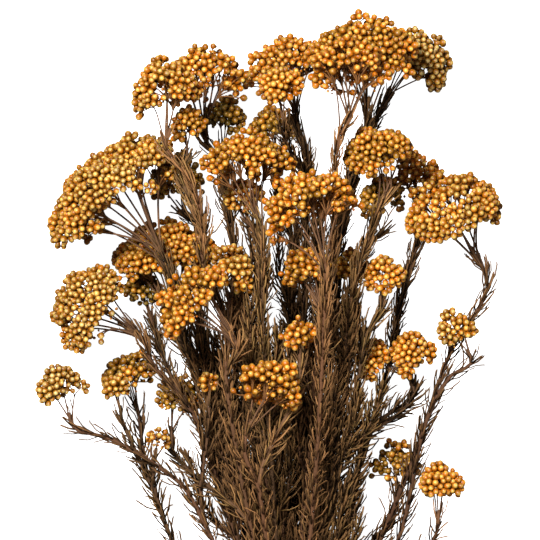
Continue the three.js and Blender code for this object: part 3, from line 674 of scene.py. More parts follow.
def square_to(axis):
    """Two directions square to each axis, and to each other."""
    up = np.where(np.abs(axis[..., 2:]) > 0.9, [1.0, 0, 0], [0, 0, 1.0])
    first = unit(np.cross(axis, up))
    return first, unit(np.cross(first, axis))


def tube(points, radii, sides, slot, tone=0.5, shade=0.5):
    """A closed tube through points, with a radius for each, and a tip value that rises along it."""
    points = np.asarray(points, float)
    tangent = unit(np.gradient(points, axis=0))
    first, second = square_to(tangent)
    turn = 2 * np.pi * np.arange(sides) / sides
    rings = (points[:, None] + np.cos(turn)[None, :, None] * (first * radii[:, None])[:, None]
             + np.sin(turn)[None, :, None] * (second * radii[:, None])[:, None])
    count = len(points)
    index = np.arange(count * sides).reshape(count, sides)
    low, high = index[:-1], index[1:]
    quads = np.stack([low, high, np.roll(high, -1, 1), np.roll(low, -1, 1)], 2).reshape(-1, 4)
    flat = np.concatenate([quads.ravel(), index[0], index[-1][::-1]])
    sizes = np.concatenate([np.full(len(quads), 4), [sides, sides]])
    spread = np.ones(count * sides)
    return {"verts": rings.reshape(-1, 3), "flat": flat, "sizes": sizes, "slot": slot,
            "tone": tone * spread, "shade": shade * spread,
            "tip": np.repeat(np.linspace(0, 1, count), sides)}


three = copies(bud_shape, np.zeros((3, 3)), np.stack([np.eye(3)] * 3), 0.5, 0.5)
print("faces of three buds:", len(three["sizes"]))

# %% [markdown]
# ## What the materials share
# Every surface here is a dried plant fibre with some fine relief, so each material has noise
# that also makes its bumps. The noise reads the place on the piece, because the copies have no
# unwrapped surface. Where the fibres run along the stems, it is stretched along the bunch. The
# plant's own materials read the tone, shade and tip of each vertex as well.

# %% What the materials share
def relief(tree, shader, scale, detail, strength, depth, pace_along=1):
    """Noise and the bumps it makes. A pace along the bunch under 1 draws it out that way."""
    place = add_node(tree, "ShaderNodeTexCoord").outputs["Object"]
    along = add_node(tree, "ShaderNodeMapping", values={"Scale": (1, pace_along, 1)},
                     links={"Vector": place}).outputs[0]
    noise = add_node(tree, "ShaderNodeTexNoise", values={"Scale": scale, "Detail": detail},
                     links={"Vector": along}).outputs["Fac"]
    bump = add_node(tree, "ShaderNodeBump", values={"Strength": strength, "Distance": depth},
                    links={"Height": noise})
    tree.links.new(bump.outputs[0], shader.inputs["Normal"])
    return noise


def plant_material(name, roughness, specular):
    """A new material, with the tone, shade and tip of each vertex."""
    material, tree, shader = new_material(name, roughness)
    shader.inputs["Specular IOR Level"].default_value = specular
    values = [add_node(tree, "ShaderNodeAttribute", {"attribute_name": key}).outputs["Fac"]
              for key in VERTEX_VALUES]
    return material, tree, shader, *values


print("the plant's materials read:", VERTEX_VALUES)

# %% [markdown]
# ## Dyed papery bracts
# A rice flower bud is a ball of overlapping papery bracts. Dried and dyed, it is golden at the
# sides, with a paler tip where the bracts close, and the pale tip is partly a painted highlight.
# The papery skin is thin, so a little light passes under it and warms the shaded side, and it is
# smooth enough for a soft satin glint. The dye took unevenly from head to head. So one ramp holds
# the colours of the sides, from golden brown over orange to olive brown, another those of the
# tips, from pale cream over gold to olive, and each head has its place on both. The dark olive
# ends of the ramps are partly painted shade for heads low in the bunch. Each bud is a little
# lighter or darker than the next, and mottled by its bracts.

# %% Dyed papery bracts
BRACT_WIDTH = 0.9 * MM    # half a swing of the noise
BRACT_RELIEF = 0.15 * MM
SKIN_DEPTH = 1.2 * MM     # how far light spreads under the bracts, in the red
TIP_POWER = 2.0           # higher keeps the pale tip and its painted highlight nearer to the very tip
DARKEST_BUD, LIGHTEST_BUD = 0.64, 1.14
DARKEST_SPOT, LIGHTEST_SPOT = 0.82, 1.12

bracts, tree, shader, tone, shade, tip = plant_material("dyed_papery_bracts", 0.38, 0.5)
shader.inputs["Subsurface Weight"].default_value = 0.22
shader.inputs["Subsurface Radius"].default_value = (1.0, 0.5, 0.18)
shader.inputs["Subsurface Scale"].default_value = SKIN_DEPTH
mottle = relief(tree, shader, 0.5 / BRACT_WIDTH, 2, 0.35, BRACT_RELIEF)
# Painted highlight and shade: the pale tip colours are partly a painted highlight, and the dark ends
# of both ramps are partly painted shade.
sides = add_node(tree, "ShaderNodeValToRGB", links={"Fac": tone}, colours=[
    (0.0, "#985f08"), (0.25, "#985a04"), (0.5, "#c06803"), (0.72, "#805004"), (1.0, "#5c470d")])
pale_tips_and_highlight = add_node(tree, "ShaderNodeValToRGB", links={"Fac": tone}, colours=[
    (0.0, "#f8dc90"), (0.25, "#f4cc68"), (0.5, "#ffc95c"), (0.72, "#d8a03a"), (1.0, "#a8893a")])
tip_and_highlight_share = add_node(tree, "ShaderNodeMath", {"operation": "POWER"}, {1: TIP_POWER}, {0: tip})
dye_and_painted_light = add_node(tree, "ShaderNodeMix", {"data_type": "RGBA"},
                links={0: tip_and_highlight_share.outputs[0], 6: sides.outputs[0], 7: pale_tips_and_highlight.outputs[0]})
light = add_node(tree, "ShaderNodeMapRange", values={3: DARKEST_BUD, 4: LIGHTEST_BUD},
                 links={0: shade})
spotted = add_node(tree, "ShaderNodeMapRange", links={0: mottle},
                   values={1: 0.3, 2: 0.7, 3: DARKEST_SPOT, 4: LIGHTEST_SPOT})
both = add_node(tree, "ShaderNodeMath", {"operation": "MULTIPLY"},
                links={0: light.outputs[0], 1: spotted.outputs[0]})
final = add_node(tree, "ShaderNodeVectorMath", {"operation": "SCALE"},
                 links={0: dye_and_painted_light.outputs[2], "Scale": both.outputs[0]})
tree.links.new(final.outputs[0], shader.inputs["Base Color"])
print("bract nodes:", len(tree.nodes))

# %% [markdown]
# ## Bark, needle leaves and pedicels
# The woody stems have thin, dull bark with fine ridges along them. Dried needle leaves are
# matt, and reddish on one stem and more olive on another. Pedicels are thin and soft and took
# some of the dye, so they turn from brown towards gold at their buds. All three are made
# alike: nearly black where the noise and the shade value are low, up to the stem's own hue where
# they are high, and turned to one more colour at the tip. On the bark and needles of the stems
# the shade value is painted light and shade by height in the bunch, so there the near-black end
# is partly painted shade.

# %% Bark, needle leaves and pedicels
RIDGE_WIDTH = 0.35 * MM   # real ridges are finer, and wouldn't show at half a mm a pixel
RIDGE_DEPTH = 0.12 * MM
PACE_ALONG = 0.12         # a ridge is about eight times as long as it is wide
NOISE_SHARE = 0.6         # how much the noise counts against the shade
DARK_AT, LIGHT_AT = 0.26, 1.4


def brown_material(name, roughness, share_of_swing, dark_grain_and_shade, reddish, olive, tipped):
    """A ridge's width takes up this share of one full swing of the noise."""
    material, tree, shader, tone, shade, tip = plant_material(name, roughness, 0.2)
    noise = relief(tree, shader, share_of_swing / RIDGE_WIDTH, 3, 0.5, RIDGE_DEPTH, PACE_ALONG)
    total = add_node(tree, "ShaderNodeMath", {"operation": "MULTIPLY_ADD"}, {1: NOISE_SHARE},
                     {0: noise, 2: shade})
    share = add_node(tree, "ShaderNodeMapRange", values={1: DARK_AT, 2: LIGHT_AT},
                     links={0: total.outputs[0]})
    hue = add_node(tree, "ShaderNodeValToRGB", links={"Fac": tone},
                   colours=[(0.1, reddish), (0.9, olive)])
    # The dark end is the grain's dark colour and, where the shade value is low, painted shade.
    body = add_node(tree, "ShaderNodeMix", {"data_type": "RGBA"}, {6: linear(dark_grain_and_shade)},
                    {0: share.outputs[0], 7: hue.outputs[0]})
    end = add_node(tree, "ShaderNodeMix", {"data_type": "RGBA"}, {7: linear(tipped)},
                   {0: tip, 6: body.outputs[2]})
    tree.links.new(end.outputs[2], shader.inputs["Base Color"])
    return material


bark = brown_material("dry_bark", 0.85, 0.5, "#20140d", "#7e563a", "#74593b", "#6b4b34")
leaf = brown_material("dry_needle_leaf", 0.7, 0.35, "#130c06", "#a8764a", "#9f7f47", "#8a6238")
stalk = brown_material("dyed_pedicel", 0.7, 0.35, "#4c301d", "#7f4f33", "#80592d", "#b5762c")
BARK, LEAF, STALK = 0, 1, 2
print("brown materials:", [material.name for material in (bark, leaf, stalk)])

# %% [markdown]
# ## Where the clusters are
# A head is a dome of small clusters, one for each bump of the solid model. The places of the
# bumps come from the same seeded draw. More clusters came late, on short twigs beneath the rim,
# which is why a head looks full from the side as well.

# %% Where the clusters are
RING_LIMITS = (13.2, 21.5, 30)


class Draw:
    """The seeded draw of the solid model."""
    def __init__(self, seed):
        self.state = seed

    def __call__(self):
        self.state = self.state * 48271 % 2147483647
        return self.state / 2147483647


def dome_sites(top, draw):
    """Each cluster's place, way out, ring's share and turn, and a cluster's width, by the solid
    model's own numbers."""
    rings = 1 + sum(top.radius > limit for limit in RING_LIMITS)
    spacing = 1.25 * top.radius / (rings + 0.45)
    base = top.radius - 0.8 * BUMP_RISE * spacing
    right, ahead = square_to(top.axis)
    sites = []
    for ring in range(rings + 1):
        count = max(1, 6 * ring)
        for i in range(count):
            phi = math.pi / 2 * (ring + WANDER * (draw() - 0.5)) / (rings + 0.45)
            theta = 2 * math.pi * (i + 1.5 * WANDER * (draw() - 0.5)) / count
            grow = 0.95 + 0.1 * draw()
            up, side = math.cos(phi), math.sin(phi) * math.cos(theta)
            front = math.sin(phi) * math.sin(theta)
            sag = RIM_DROOP * top.radius * side**2
            place = (top.rim + top.axis * (top.rise * grow * up - sag)
                     + right * base * grow * side + ahead * base * grow * front)
            out = unit(top.axis * up / top.rise + right * side / base + ahead * front / base)
            sites.append((place, out, ring / rings, theta))
    # The solid model draws on here, for one more ring and for the height of each bump
    for _ in range(2 * 6 * (rings + 1) + len(sites)):
        draw()
    return sites, spacing


def late_sites(top, count):
    """Clusters that came late, on short twigs beneath the rim."""
    right, ahead = square_to(top.axis)
    sites = []
    for turn in rng.uniform(0, 2 * math.pi, count):
        side = rng.uniform(0.5, 0.97)
        away = math.cos(turn) * right + math.sin(turn) * ahead
        down = rng.uniform(0.03, 0.36) + RIM_DROOP * (side * math.cos(turn)) ** 2
        place = top.rim + top.radius * (side * away - down * top.axis)
        sites.append((place, unit(away + rng.uniform(-0.2, 0.5) * top.axis), 1, turn))
    return sites


draw = Draw(SEED)
domes = [dome_sites(strand.top, draw) for strand in strands]
print("clusters on the domes:", sum(len(sites) for sites, _ in domes))

# %% [markdown]
# ## Buds of a cluster
# A cluster holds its buds on a round cap about its own branching point, a bud's width apart.
# Buds that overlap push each other along their caps, as they do when they grow. Plain random
# places would overlap and leave bare spots, which real clusters don't have.

# %% Buds of a cluster
SETTLE_ROUNDS = 40


def leaned(axis, lean, turn):
    """The way that leans from an axis by one angle, turned round it by another."""
    first, second = square_to(axis)
    return math.cos(lean) * axis + math.sin(lean) * (math.cos(turn) * first + math.sin(turn) * second)


def cap_directions(out, step, reach_angle):
    """Directions spread evenly round an outward one, a bud's width apart."""
    found = [out]
    ring = 1
    while ring * step < reach_angle:
        angle = ring * step
        count = max(3, round(2 * math.pi * math.sin(angle) / step))
        turn = rng.uniform(0, 2 * math.pi)
        for i in range(count):
            around = turn + 2 * math.pi * i / count + rng.normal(0, 0.12)
            found.append(leaned(out, angle + rng.normal(0, 0.06), around))
        ring += 1
    return found


def settle(spots, hearts, reaches, radii):
    """Pushes overlapping buds apart while each keeps near its own cap."""
    need = radii[None] + radii[:, None]
    for _ in range(SETTLE_ROUNDS):
        apart = spots[None] - spots[:, None]
        distance = np.linalg.norm(apart, axis=2) + 1e-6
        push = np.where(distance < need, 0.5 * (need - distance) / distance, 0)
        np.fill_diagonal(push, 0)
        spots = spots - (apart * push[..., None]).sum(1)
        off = spots - hearts
        length = np.linalg.norm(off, axis=1, keepdims=True)
        slack = np.clip(length - reaches[:, None], -0.7, 0.9)
        spots = 0.4 * spots + 0.6 * (hearts + off / length * (reaches[:, None] + slack))
    return spots


print("rounds in which the buds part:", SETTLE_ROUNDS)

# %% [markdown]
# ## Buds on their heads
# No head is a perfect dome: its outline swings in and out, clusters stand proud or low, and some
# have failed, more of them at the rim of a head that leans to the ground. Smaller clusters sit
# beneath the first layer, so that few gaps show the inside. Buds that are deep in the head or
# far below its rim are left out, because nobody sees them.

# %% Buds on their heads
INNER_KEPT, LATE_SHARE = 0.9, 0.5
FAILED, FAILED_IN_SHADE = 0.04, 0.3
LOBES = (0.07, 0.05)      # how far the outline swings twice and three times round the head
HEART_DEPTH = 0.36        # of the branching point under the cluster, as a share of its width
CAP_REACH, CAP_REACH_AT_RIM = 1.4, 0.35
PROUD_BUDS = 0.05
SKIN_FROM = 0.55          # how far out of the head's middle the kept buds begin
LOWEST_BUD = 0.62         # how far below the rim they end, as a share of the radius


class Crown:
    """The buds of one head, and the branching point of each of its clusters."""
    def __init__(self, top, sites, spacing):
        swing = rng.uniform(0, 2 * math.pi, 2)
        hearts, outs, rows = [], [], []
        inner = [(top.rim + rng.uniform(0.58, 0.82) * (place - top.rim), out, 0, theta)
                 for place, out, share, theta in sites if rng.random() < INNER_KEPT]
        late = late_sites(top, round(LATE_SHARE * len(sites)))
        for n, (place, out, share, theta) in enumerate(sites + inner + late):
            lobe = (LOBES[0] * math.cos(2 * theta + swing[0])
                    + LOBES[1] * math.cos(3 * theta + swing[1]))
            width = spacing * (rng.uniform(0.77, 1.07) if n < len(sites) else rng.uniform(0.55, 0.8))
            place = place + (place - top.rim) * lobe * share + out * rng.uniform(-3.0, 1.3)
            heart = place - HEART_DEPTH * width * out + rng.normal(0, 0.7, 3)
            shaded = share == 1 and top.axis[2] < -0.15 and out[2] < -0.3
            if len(hearts) > 4 and rng.random() < (FAILED_IN_SHADE if shaded else FAILED):
                continue
            reach = max(0.6 * width - top.bud, 1.08 * top.bud)
            step = 2 * math.asin(min(0.95, top.bud / reach))
            for direction in cap_directions(out, step, CAP_REACH + CAP_REACH_AT_RIM * share):
                radius = top.bud * np.clip(rng.normal(1, 0.09), 0.72, 1.2)
                proud = rng.uniform(0.8, 1.8) if rng.random() < PROUD_BUDS else 0
                rows.append((heart + direction * reach, heart, reach * rng.uniform(0.93, 1.07) + proud,
                             radius, len(hearts)))
            hearts.append(heart)
            outs.append(out)
        self.hearts, self.outs = np.array(hearts), np.array(outs)
        spots, centres, reaches, self.radii, self.owners = (np.array(c) for c in zip(*rows))
        self.spots = settle(spots, centres, reaches, self.radii)
        off = self.spots - top.rim
        self.facing = unit(unit(self.spots - centres) + 0.35 * unit(off))
        up = off @ top.axis
        side = np.linalg.norm(off - up[:, None] * top.axis, axis=1)
        self.depth = np.hypot(up / top.rise, side / top.radius)
        self.keep((self.depth > SKIN_FROM) & (up > -LOWEST_BUD * top.radius))
        self.drop_crowded()

    def keep(self, kept):
        for name in ("spots", "facing", "radii", "owners", "depth"):
            setattr(self, name, getattr(self, name)[kept])

    def drop_crowded(self):
        """Of two buds that still overlap, only the outer one stays."""
        order = np.argsort(-self.depth)
        kept = np.ones(len(order), bool)
        apart = np.linalg.norm(self.spots[None] - self.spots[:, None], axis=2)
        for n, i in enumerate(order):
            near = order[:n][kept[order[:n]]]
            kept[i] = not (apart[i, near] < 0.9 * (self.radii[i] + self.radii[near])).any()
        self.keep(kept)


crowns = [Crown(strand.top, *dome) for strand, dome in zip(strands, domes)]
print("buds:", sum(len(crown.spots) for crown in crowns))

# %% [markdown]
# ## Buds that stay
# Buds of one head keep clear of the buds of the heads round it: where two meet, the bud of the
# later head is left out, as it would have been rubbed off in the bunch. Two search trees keep
# what is there, one in space and one as seen from above, for the needles to keep clear of.

# %% Buds that stay
bud_tree, flat_tree = (KDTree(sum(len(crown.spots) for crown in crowns)) for _ in range(2))
bud_radii, bud_heights = [], []
for crown in crowns:
    if bud_radii:
        bud_tree.balance()
        nearest = [bud_tree.find(spot) for spot in crown.spots]
        crown.keep(np.array([gap > 0.8 * (radius + bud_radii[found])
                             for (_, found, gap), radius in zip(nearest, crown.radii)]))
    for spot, radius in zip(crown.spots, crown.radii):
        bud_tree.insert(spot, len(bud_radii))
        flat_tree.insert((spot[0], spot[1], 0), len(bud_radii))
        bud_radii.append(radius)
        bud_heights.append(spot[2])
bud_tree.balance()
flat_tree.balance()
print("buds kept:", len(bud_radii))

# %% [markdown]
# ## Heads of buds
# Beside its ripe buds a cluster holds one to three small unripe ones. Each head becomes one
# piece, which stands for the head of the solid model. The dye is patchy: it changes from cluster
# to cluster and a little from bud to bud. Buds that sit deeper in the head are painted darker, as
# shade.

# %% Heads of buds
TONE_BY_CLUSTER, TONE_BY_BUD, PAINTED_SHADE_BY_DEPTH = 0.045, 0.05, 0.5
UNRIPE_RADII, UNRIPE_REACH, UNRIPE_LEAN = (0.45, 0.95), (1.4, 4.2), (0.9, 2.4)


def unripe_buds(crown):
    """Small late buds on the sides of some clusters: places, ways out and radii."""
    rows = []
    for heart, out in zip(crown.hearts, crown.outs):
        for _ in range(rng.integers(1, 4)):
            turn = rng.uniform(0, 2 * math.pi)
            way = leaned(out, rng.uniform(*UNRIPE_LEAN), turn)
            place = heart + way * rng.uniform(*UNRIPE_REACH)
            rows.append((place, way, rng.uniform(*UNRIPE_RADII)))
    return [np.array(column) for column in zip(*rows)]


def facing_axes(facing, radii):
    first, second = square_to(facing)
    return np.stack([first, second, facing], 2) * radii[:, None, None]


def dress(piece, node):
    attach(piece, "root")
    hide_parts(node)


def numbered(strand):
    letter = "abc"[strand.place] if len(STEMS[strand.stem][1]) > 1 else ""
    return f"{strand.stem + 1:02d}{letter}"


for strand, crown in zip(strands, crowns):
    spots, count = crown.spots.copy(), len(crown.spots)
    spots[:, 2] = np.maximum(spots[:, 2], crown.radii * 0.9)
    patchy = rng.normal(0, TONE_BY_CLUSTER, len(crown.hearts))
    # Painted shade: buds deeper in the head are moved towards the dark end of the ramps.
    depth_shade = PAINTED_SHADE_BY_DEPTH * np.clip(0.95 - crown.depth, 0, 0.4)
    tones = strand.top.tone + patchy[crown.owners] + depth_shade + rng.normal(0, TONE_BY_BUD, count)
    buds = copies(bud_shape, spots, facing_axes(crown.facing, crown.radii), np.clip(tones, 0, 1),
                  rng.random(count))
    small, ways, sizes = unripe_buds(crown)
    small[:, 2] = np.maximum(small[:, 2], sizes)
    tones = np.clip(strand.top.tone + rng.normal(0.05, 0.06, len(small)), 0, 1)
    unripe = copies(unripe_shape, small, facing_axes(ways, sizes), tones, rng.random(len(small)))
    piece = make_mesh(f"buds_{numbered(strand)}", [buds, unripe], [bracts])
    dress(piece, f"flower_head_{numbered(strand)}")

# %% [markdown]
# ## Rays, branchlets and pedicels
# Under a head the stem divides into thin rays, each ray into branchlets, and each branchlet
# carries one cluster. The outer rays leave the stem lower than the inner ones and run up beside
# it before they part, which is what makes the head's top level. Clusters are shared out among
# the rays by nearness. Each bud has a pedicel of its own. Rays and branchlets are tubes along
# smooth curves, and a pedicel is a three-sided rod stretched from its start to its bud.

# %% Rays, branchlets and pedicels
def share_out(spots, count):
    """Shares points out among count groups by nearness, from starts that are far apart."""
    middles = [spots[0]]
    while len(middles) < count:
        gaps = np.min([np.linalg.norm(spots - m, axis=1) for m in middles], axis=0)
        middles.append(spots[np.argmax(gaps)])
    middles = np.array(middles)
    for _ in range(6):
        group = np.argmin(np.linalg.norm(spots[:, None] - middles[None], axis=2), axis=1)
        for g in range(count):
            if (group == g).any():
                middles[g] = spots[group == g].mean(0)
    return group


def bend_between(start, leaving, end, arriving, steps):
    """Points of a smooth curve from start to end, with the way that it leaves and arrives."""
    at_start, leave, at_end, arrive = hermite(np.linspace(0, 1, steps + 1)[:, None])
    span = np.linalg.norm(end - start)
    return at_start * start + leave * span * leaving + at_end * end + arrive * span * arriving


def stretched(starts, ends, radius):
    """Places and axes that stretch the pedicel's shape from each start to each end."""
    way = ends - starts
    first, second = square_to(unit(way))
    return starts, np.stack([first * radius, second * radius, way], 2)


CLUSTERS_ON_RAY, RAY_STEPS, TWIG_STEPS = 10, 7, 4
TWIG_END, PEDICEL_RADIUS = 0.24, 0.19
DYE_ON_TWIGS = 0.3        # the dye faded out along the branchlets, towards the stem


def ray_blocks(strand, path, crown):
    """The brown parts that carry one head."""
    top = strand.top
    group = share_out(crown.hearts, max(3, round(len(crown.hearts) / CLUSTERS_ON_RAY)))
    blocks = []
    for g in np.unique(group):
        members = crown.hearts[group == g]
        middle = members.mean(0)
        way = unit(middle - top.hub)
        outward = math.sqrt(max(0, 1 - (way @ top.axis) ** 2))
        lower = rng.uniform(0, 14) + (0.02 + 0.28 * outward) * top.radius
        start, tangent, _ = path.at(max(path.total - lower, 2))
        start, tangent = start[0], tangent[0]
        fork = top.hub + rng.uniform(0.5, 0.72) * (middle - top.hub) + rng.normal(0, 0.8, 3)
        ray = bend_between(start, 0.5 * tangent, fork, 0.5 * way, RAY_STEPS)
        thick = rng.uniform(0.36, 0.5) + 0.005 * top.radius
        radii = np.linspace(thick, 0.75 * thick, RAY_STEPS + 1)
        blocks.append(tube(ray, radii, 5, BARK, shade=rng.random()))
        leaving = unit(ray[-1] - ray[-2])
        for heart, out in zip(members, crown.outs[group == g]):
            twig = bend_between(fork, 0.7 * leaving, heart, 0.5 * out, TWIG_STEPS)
            radii = np.linspace(0.72 * thick, TWIG_END, TWIG_STEPS + 1)
            blocks.append(tube(twig, radii, 4, STALK, shade=rng.random()))
            blocks[-1]["tip"] = blocks[-1]["tip"] * DYE_ON_TWIGS
    feet = crown.spots - crown.facing * crown.radii[:, None] * 0.95
    places, axes = stretched(crown.hearts[crown.owners], feet, PEDICEL_RADIUS)
    blocks.append(copies(pedicel_shape, places, axes, 0.5, rng.random(len(places)), STALK))
    return blocks


print("rays of the widest head:", max(round(len(c.hearts) / CLUSTERS_ON_RAY) for c in crowns))

# %% [markdown]
# ## Room among the stems
# A needle can't grow through its neighbours, and how a stem looks depends on where it lies: the
# top ones in the bunch are rubbed thin and painted lighter, the lower ones are thick with leaves and
# painted dark, as shade.
# So the stems' own points are kept in a search tree, and at every level across the bunch the
# lowest and highest stem, and the leftmost and rightmost, are measured.

# %% Room among the stems
POINT_STEP = 2.0
LEVEL_HALF = 12

stem_points, stem_owner, stem_radii = [], [], []
for strand, path in zip(strands, paths):
    point, _, radius = path.at(np.arange(0, path.total, POINT_STEP))
    stem_points.extend(point)
    stem_owner.extend([strand.stem] * len(point))
    stem_radii.extend(radius)
stem_tree = KDTree(len(stem_points))
for i, point in enumerate(stem_points):
    stem_tree.insert(point, i)
stem_tree.balance()
stem_points = np.array(stem_points)
level_y = np.arange(20, 400, 10)
levels = [stem_points[np.abs(stem_points[:, 1] - y) < LEVEL_HALF] for y in level_y]


def bunch_share(points, axis, begin, end):
    """Where each point is across the stems of its level, from 0 at the begin percent to 1."""
    low, high = ([np.percentile(level[:, axis], edge) if len(level) else 100 * place
                  for level in levels] for place, edge in enumerate((begin, end)))
    low, high = (np.interp(points[:, 1], level_y, line) for line in (low, high))
    return np.clip((points[:, axis] - low) / (high - low), 0, 1)


def outer_share(points):
    """How far up in the bunch each point is, from 0 for the lowest stems to 1 for the top ones."""
    return bunch_share(points, 2, 5, 95)


def is_free(point, stem):
    """Whether a point is clear of all buds and of all other stems."""
    _, found, gap = bud_tree.find(point)
    if gap < bud_radii[found] + 0.3:
        return False
    for _, i, gap in stem_tree.find_range(point, 2.0):
        if stem_owner[i] != stem and gap < stem_radii[i] + 0.2:
            return False
    return True


def over_bud(point):
    """Whether a point is above a bud, where a shoot would hide it."""
    _, found, gap = flat_tree.find((point[0], point[1], 0))
    return gap < 4.5 and point[2] > bud_heights[found]


print("points on the stems:", len(stem_points))

# %% [markdown]
# ## Needle leaves on a stem
# The needles are set one by one round the stem, each turned 137.5 degrees from the last, as
# leaves grow on most plants. They lean up along the stem and grow shorter towards its end. A
# stem has its own hue, and its needles are painted lighter where it lies higher in the bunch and
# darker, as painted shade, where it lies low. A needle that would run into a bud or another stem
# is left out. A particle system could scatter them with less work, but here they are plain meshes.

# %% Needle leaves on a stem
NEEDLE_STEP = 0.78
GOLDEN_TURN = math.radians(137.5)
THINNER_ON_TOP = 0.4
NEEDLE_MEAN, NEEDLE_VARIES, NEEDLE_LIMITS = 12.2, 1.6, (7.5, 15.5)
KINDS_SHARED = [0.36, 0.44, 0.2]    # straight, bowed and curled
LOWEST_NEEDLE = 0.15
LEAN_VARIES, LEAN_LIMITS = 0.26, (3, 45)
# how much lighter the needles are painted high in the bunch
PAINTED_LIGHT_ON_TOP, HUE_VARIES = 0.8, 0.2


def leaf_blocks(stem, point, tangent, radius, lean_low, lean_high, size, look):
    """A needle at each given place of a stem, with the lean, in degrees, of the first and last."""
    count = len(point)
    shade, hue = look
    level = outer_share(point)
    first, second = square_to(tangent)
    angle = GOLDEN_TURN * np.arange(count) + rng.normal(0, 0.25, count)
    out = np.cos(angle)[:, None] * first + np.sin(angle)[:, None] * second
    up = np.linspace(0, 1, count)
    mean_lean = lean_low + (lean_high - lean_low) * up
    lean = np.clip(rng.normal(mean_lean, LEAN_VARIES * mean_lean), *LEAN_LIMITS)
    lean = np.radians(lean)[:, None]
    length = np.clip(rng.normal(NEEDLE_MEAN, NEEDLE_VARIES, count), *NEEDLE_LIMITS)
    length = length * size * (1 - 0.2 * up**3)
    way = np.cos(lean) * tangent + np.sin(lean) * out
    side = np.cos(lean) * out - np.sin(lean) * tangent
    across = np.cross(side, way)
    scale = (length / NEEDLE_LENGTH)[:, None]
    axes = np.stack([across, side * scale, way * scale], 2)
    places = point + out * (0.7 * radius)[:, None]
    kind = rng.choice(len(needle_shapes), count, p=KINDS_SHARED)
    # Painted light and shade: needles are lighter the higher their stem lies in the bunch, and darker
    # low in it.
    painted_light = shade + PAINTED_LIGHT_ON_TOP * level ** 1.9
    shades = np.clip(rng.normal(painted_light, 0.05 + 0.25 * level), 0, 1)
    hues = np.clip(rng.normal(hue, HUE_VARIES, count), 0, 1)
    free = np.array([all(is_free(foot + reach * share, stem) for share in (0.55, 1.0))
                     for foot, reach in zip(places, way * length[:, None])])
    blocks = []
    for k, shape in enumerate(needle_shapes):
        chosen = free & (kind == k)
        if chosen.any():
            block = copies(shape, places[chosen], axes[chosen], hues[chosen], shades[chosen], LEAF)
            block["tip"] = block["tip"] ** 2 * 0.6
            block["verts"][:, 2] = np.maximum(block["verts"][:, 2], LOWEST_NEEDLE)
            blocks.append(block)
    return blocks


def leafy_stretch(stem, path, begin, end, step, lean_low, lean_high, look):
    """Needles from one length along a path to another, fewer of them on the top stems."""
    s = np.arange(begin, max(end, begin + step), step)
    s = s + rng.uniform(-0.3, 0.3, len(s))
    s = s[rng.random(len(s)) > THINNER_ON_TOP * outer_share(path.at(s)[0])]
    return leaf_blocks(stem, *path.at(s), lean_low, lean_high, 1.0, look) if len(s) else []


print("needle every", NEEDLE_STEP, "mm")

# %% [markdown]
# ## Short leafy shoots
# Low in the bunch many short shoots without a head fill the room between the stems. Each one
# leaves its stem to one side and bends up beside it. It tries eight ways out, and it isn't
# grown where all eight run into something, or where it would hide the buds of a head below it.

# %% Short leafy shoots
SHOOT_TRIES, SHOOT_STEPS = 8, 30
SHOOT_LEANS, SHOOT_LENGTHS = (0.08, 0.34), (26, 58)
SHOOT_SIZE = 0.92         # its needles are a little shorter than a stem's
SHOOT_NEEDLES_FROM, SHOOT_NEEDLES_TO = 25, 13


def side_shoot(stem, path, s, look):
    """A short leafy shoot that leaves a stem, or nothing where it finds no room."""
    start, tangent, _ = (rows[0] for rows in path.at(s))
    first, second = square_to(tangent)
    for _ in range(SHOOT_TRIES):
        turn = rng.choice((0, math.pi)) + rng.normal(0, 0.6)
        lean, length = rng.uniform(*SHOOT_LEANS), rng.uniform(*SHOOT_LENGTHS)
        out = math.cos(turn) * first + math.sin(turn) * second
        tip = start + length * (math.cos(lean) * tangent + math.sin(lean) * out)
        line = bend_between(start, 0.8 * tangent + 0.7 * out, tip, tangent, SHOOT_STEPS)
        if line[:, 2].min() > 3 and all(is_free(p, stem) and not over_bud(p) for p in line[4:]):
            break
    else:
        return []
    radii = np.linspace(0.7, 0.35, len(line))
    along = unit(np.gradient(line, axis=0))
    places = np.linspace(2, SHOOT_STEPS, round(length / NEEDLE_STEP / 1.15))
    grid = np.arange(len(line))
    point = along_line(places, grid, line)
    way = unit(along_line(places, grid, along))
    # Painted light and shade: the shoot's wood is lighter the higher it starts in the bunch.
    painted_light = look[0] + 0.5 * outer_share(start[None])[0]
    wood = tube(line[::3], radii[::3], 5, BARK, look[1], painted_light)
    needles = leaf_blocks(stem, point, way, np.interp(places, grid, radii), SHOOT_NEEDLES_FROM,
                          SHOOT_NEEDLES_TO, SHOOT_SIZE, look)
    return [wood, *needles]


print("shoot tries:", SHOOT_TRIES)

# %% [markdown]
# ## Dressed stems
# The lower stems are stripped, as a florist does before tying. From four centimetres above the
# tie up to the rays they carry needles, which spread low down and press close to the stem
# under the heads. The bark is a tube with small knobs where leaves have fallen. Some stems at
# the bunch's edges are barer in the photograph, with few shoots, so they are listed with how
# many times wider their needles are spaced. All the brown parts of a stem become one piece.

# %% Dressed stems
LEAFY_FROM = 42           # these three are heights in the picture, from the tie up
SHOOTS_UP_TO = 245
DENSE_FROM = 215
BARE_UNDER_HEAD = 3
WOOD_SHARE = 0.94         # the wood's radius, as a share of the solid model's stem
OPEN_STEMS = {9: 1.5, 13: 1.4, 14: 1.3, 16: 1.5, 17: 1.15}
SHOOTS, SHOOTS_OPEN = 38, 3
SPREAD_AT_FOOT, WIDER_IF_OPEN = (19, 28), 1.15    # leans of the needles, in degrees
SPREAD_AT_TOP, SPREAD_DENSE, SPREAD_UNDER_HEAD = 14, 11, 8
KNOB_HEIGHT = 0.07

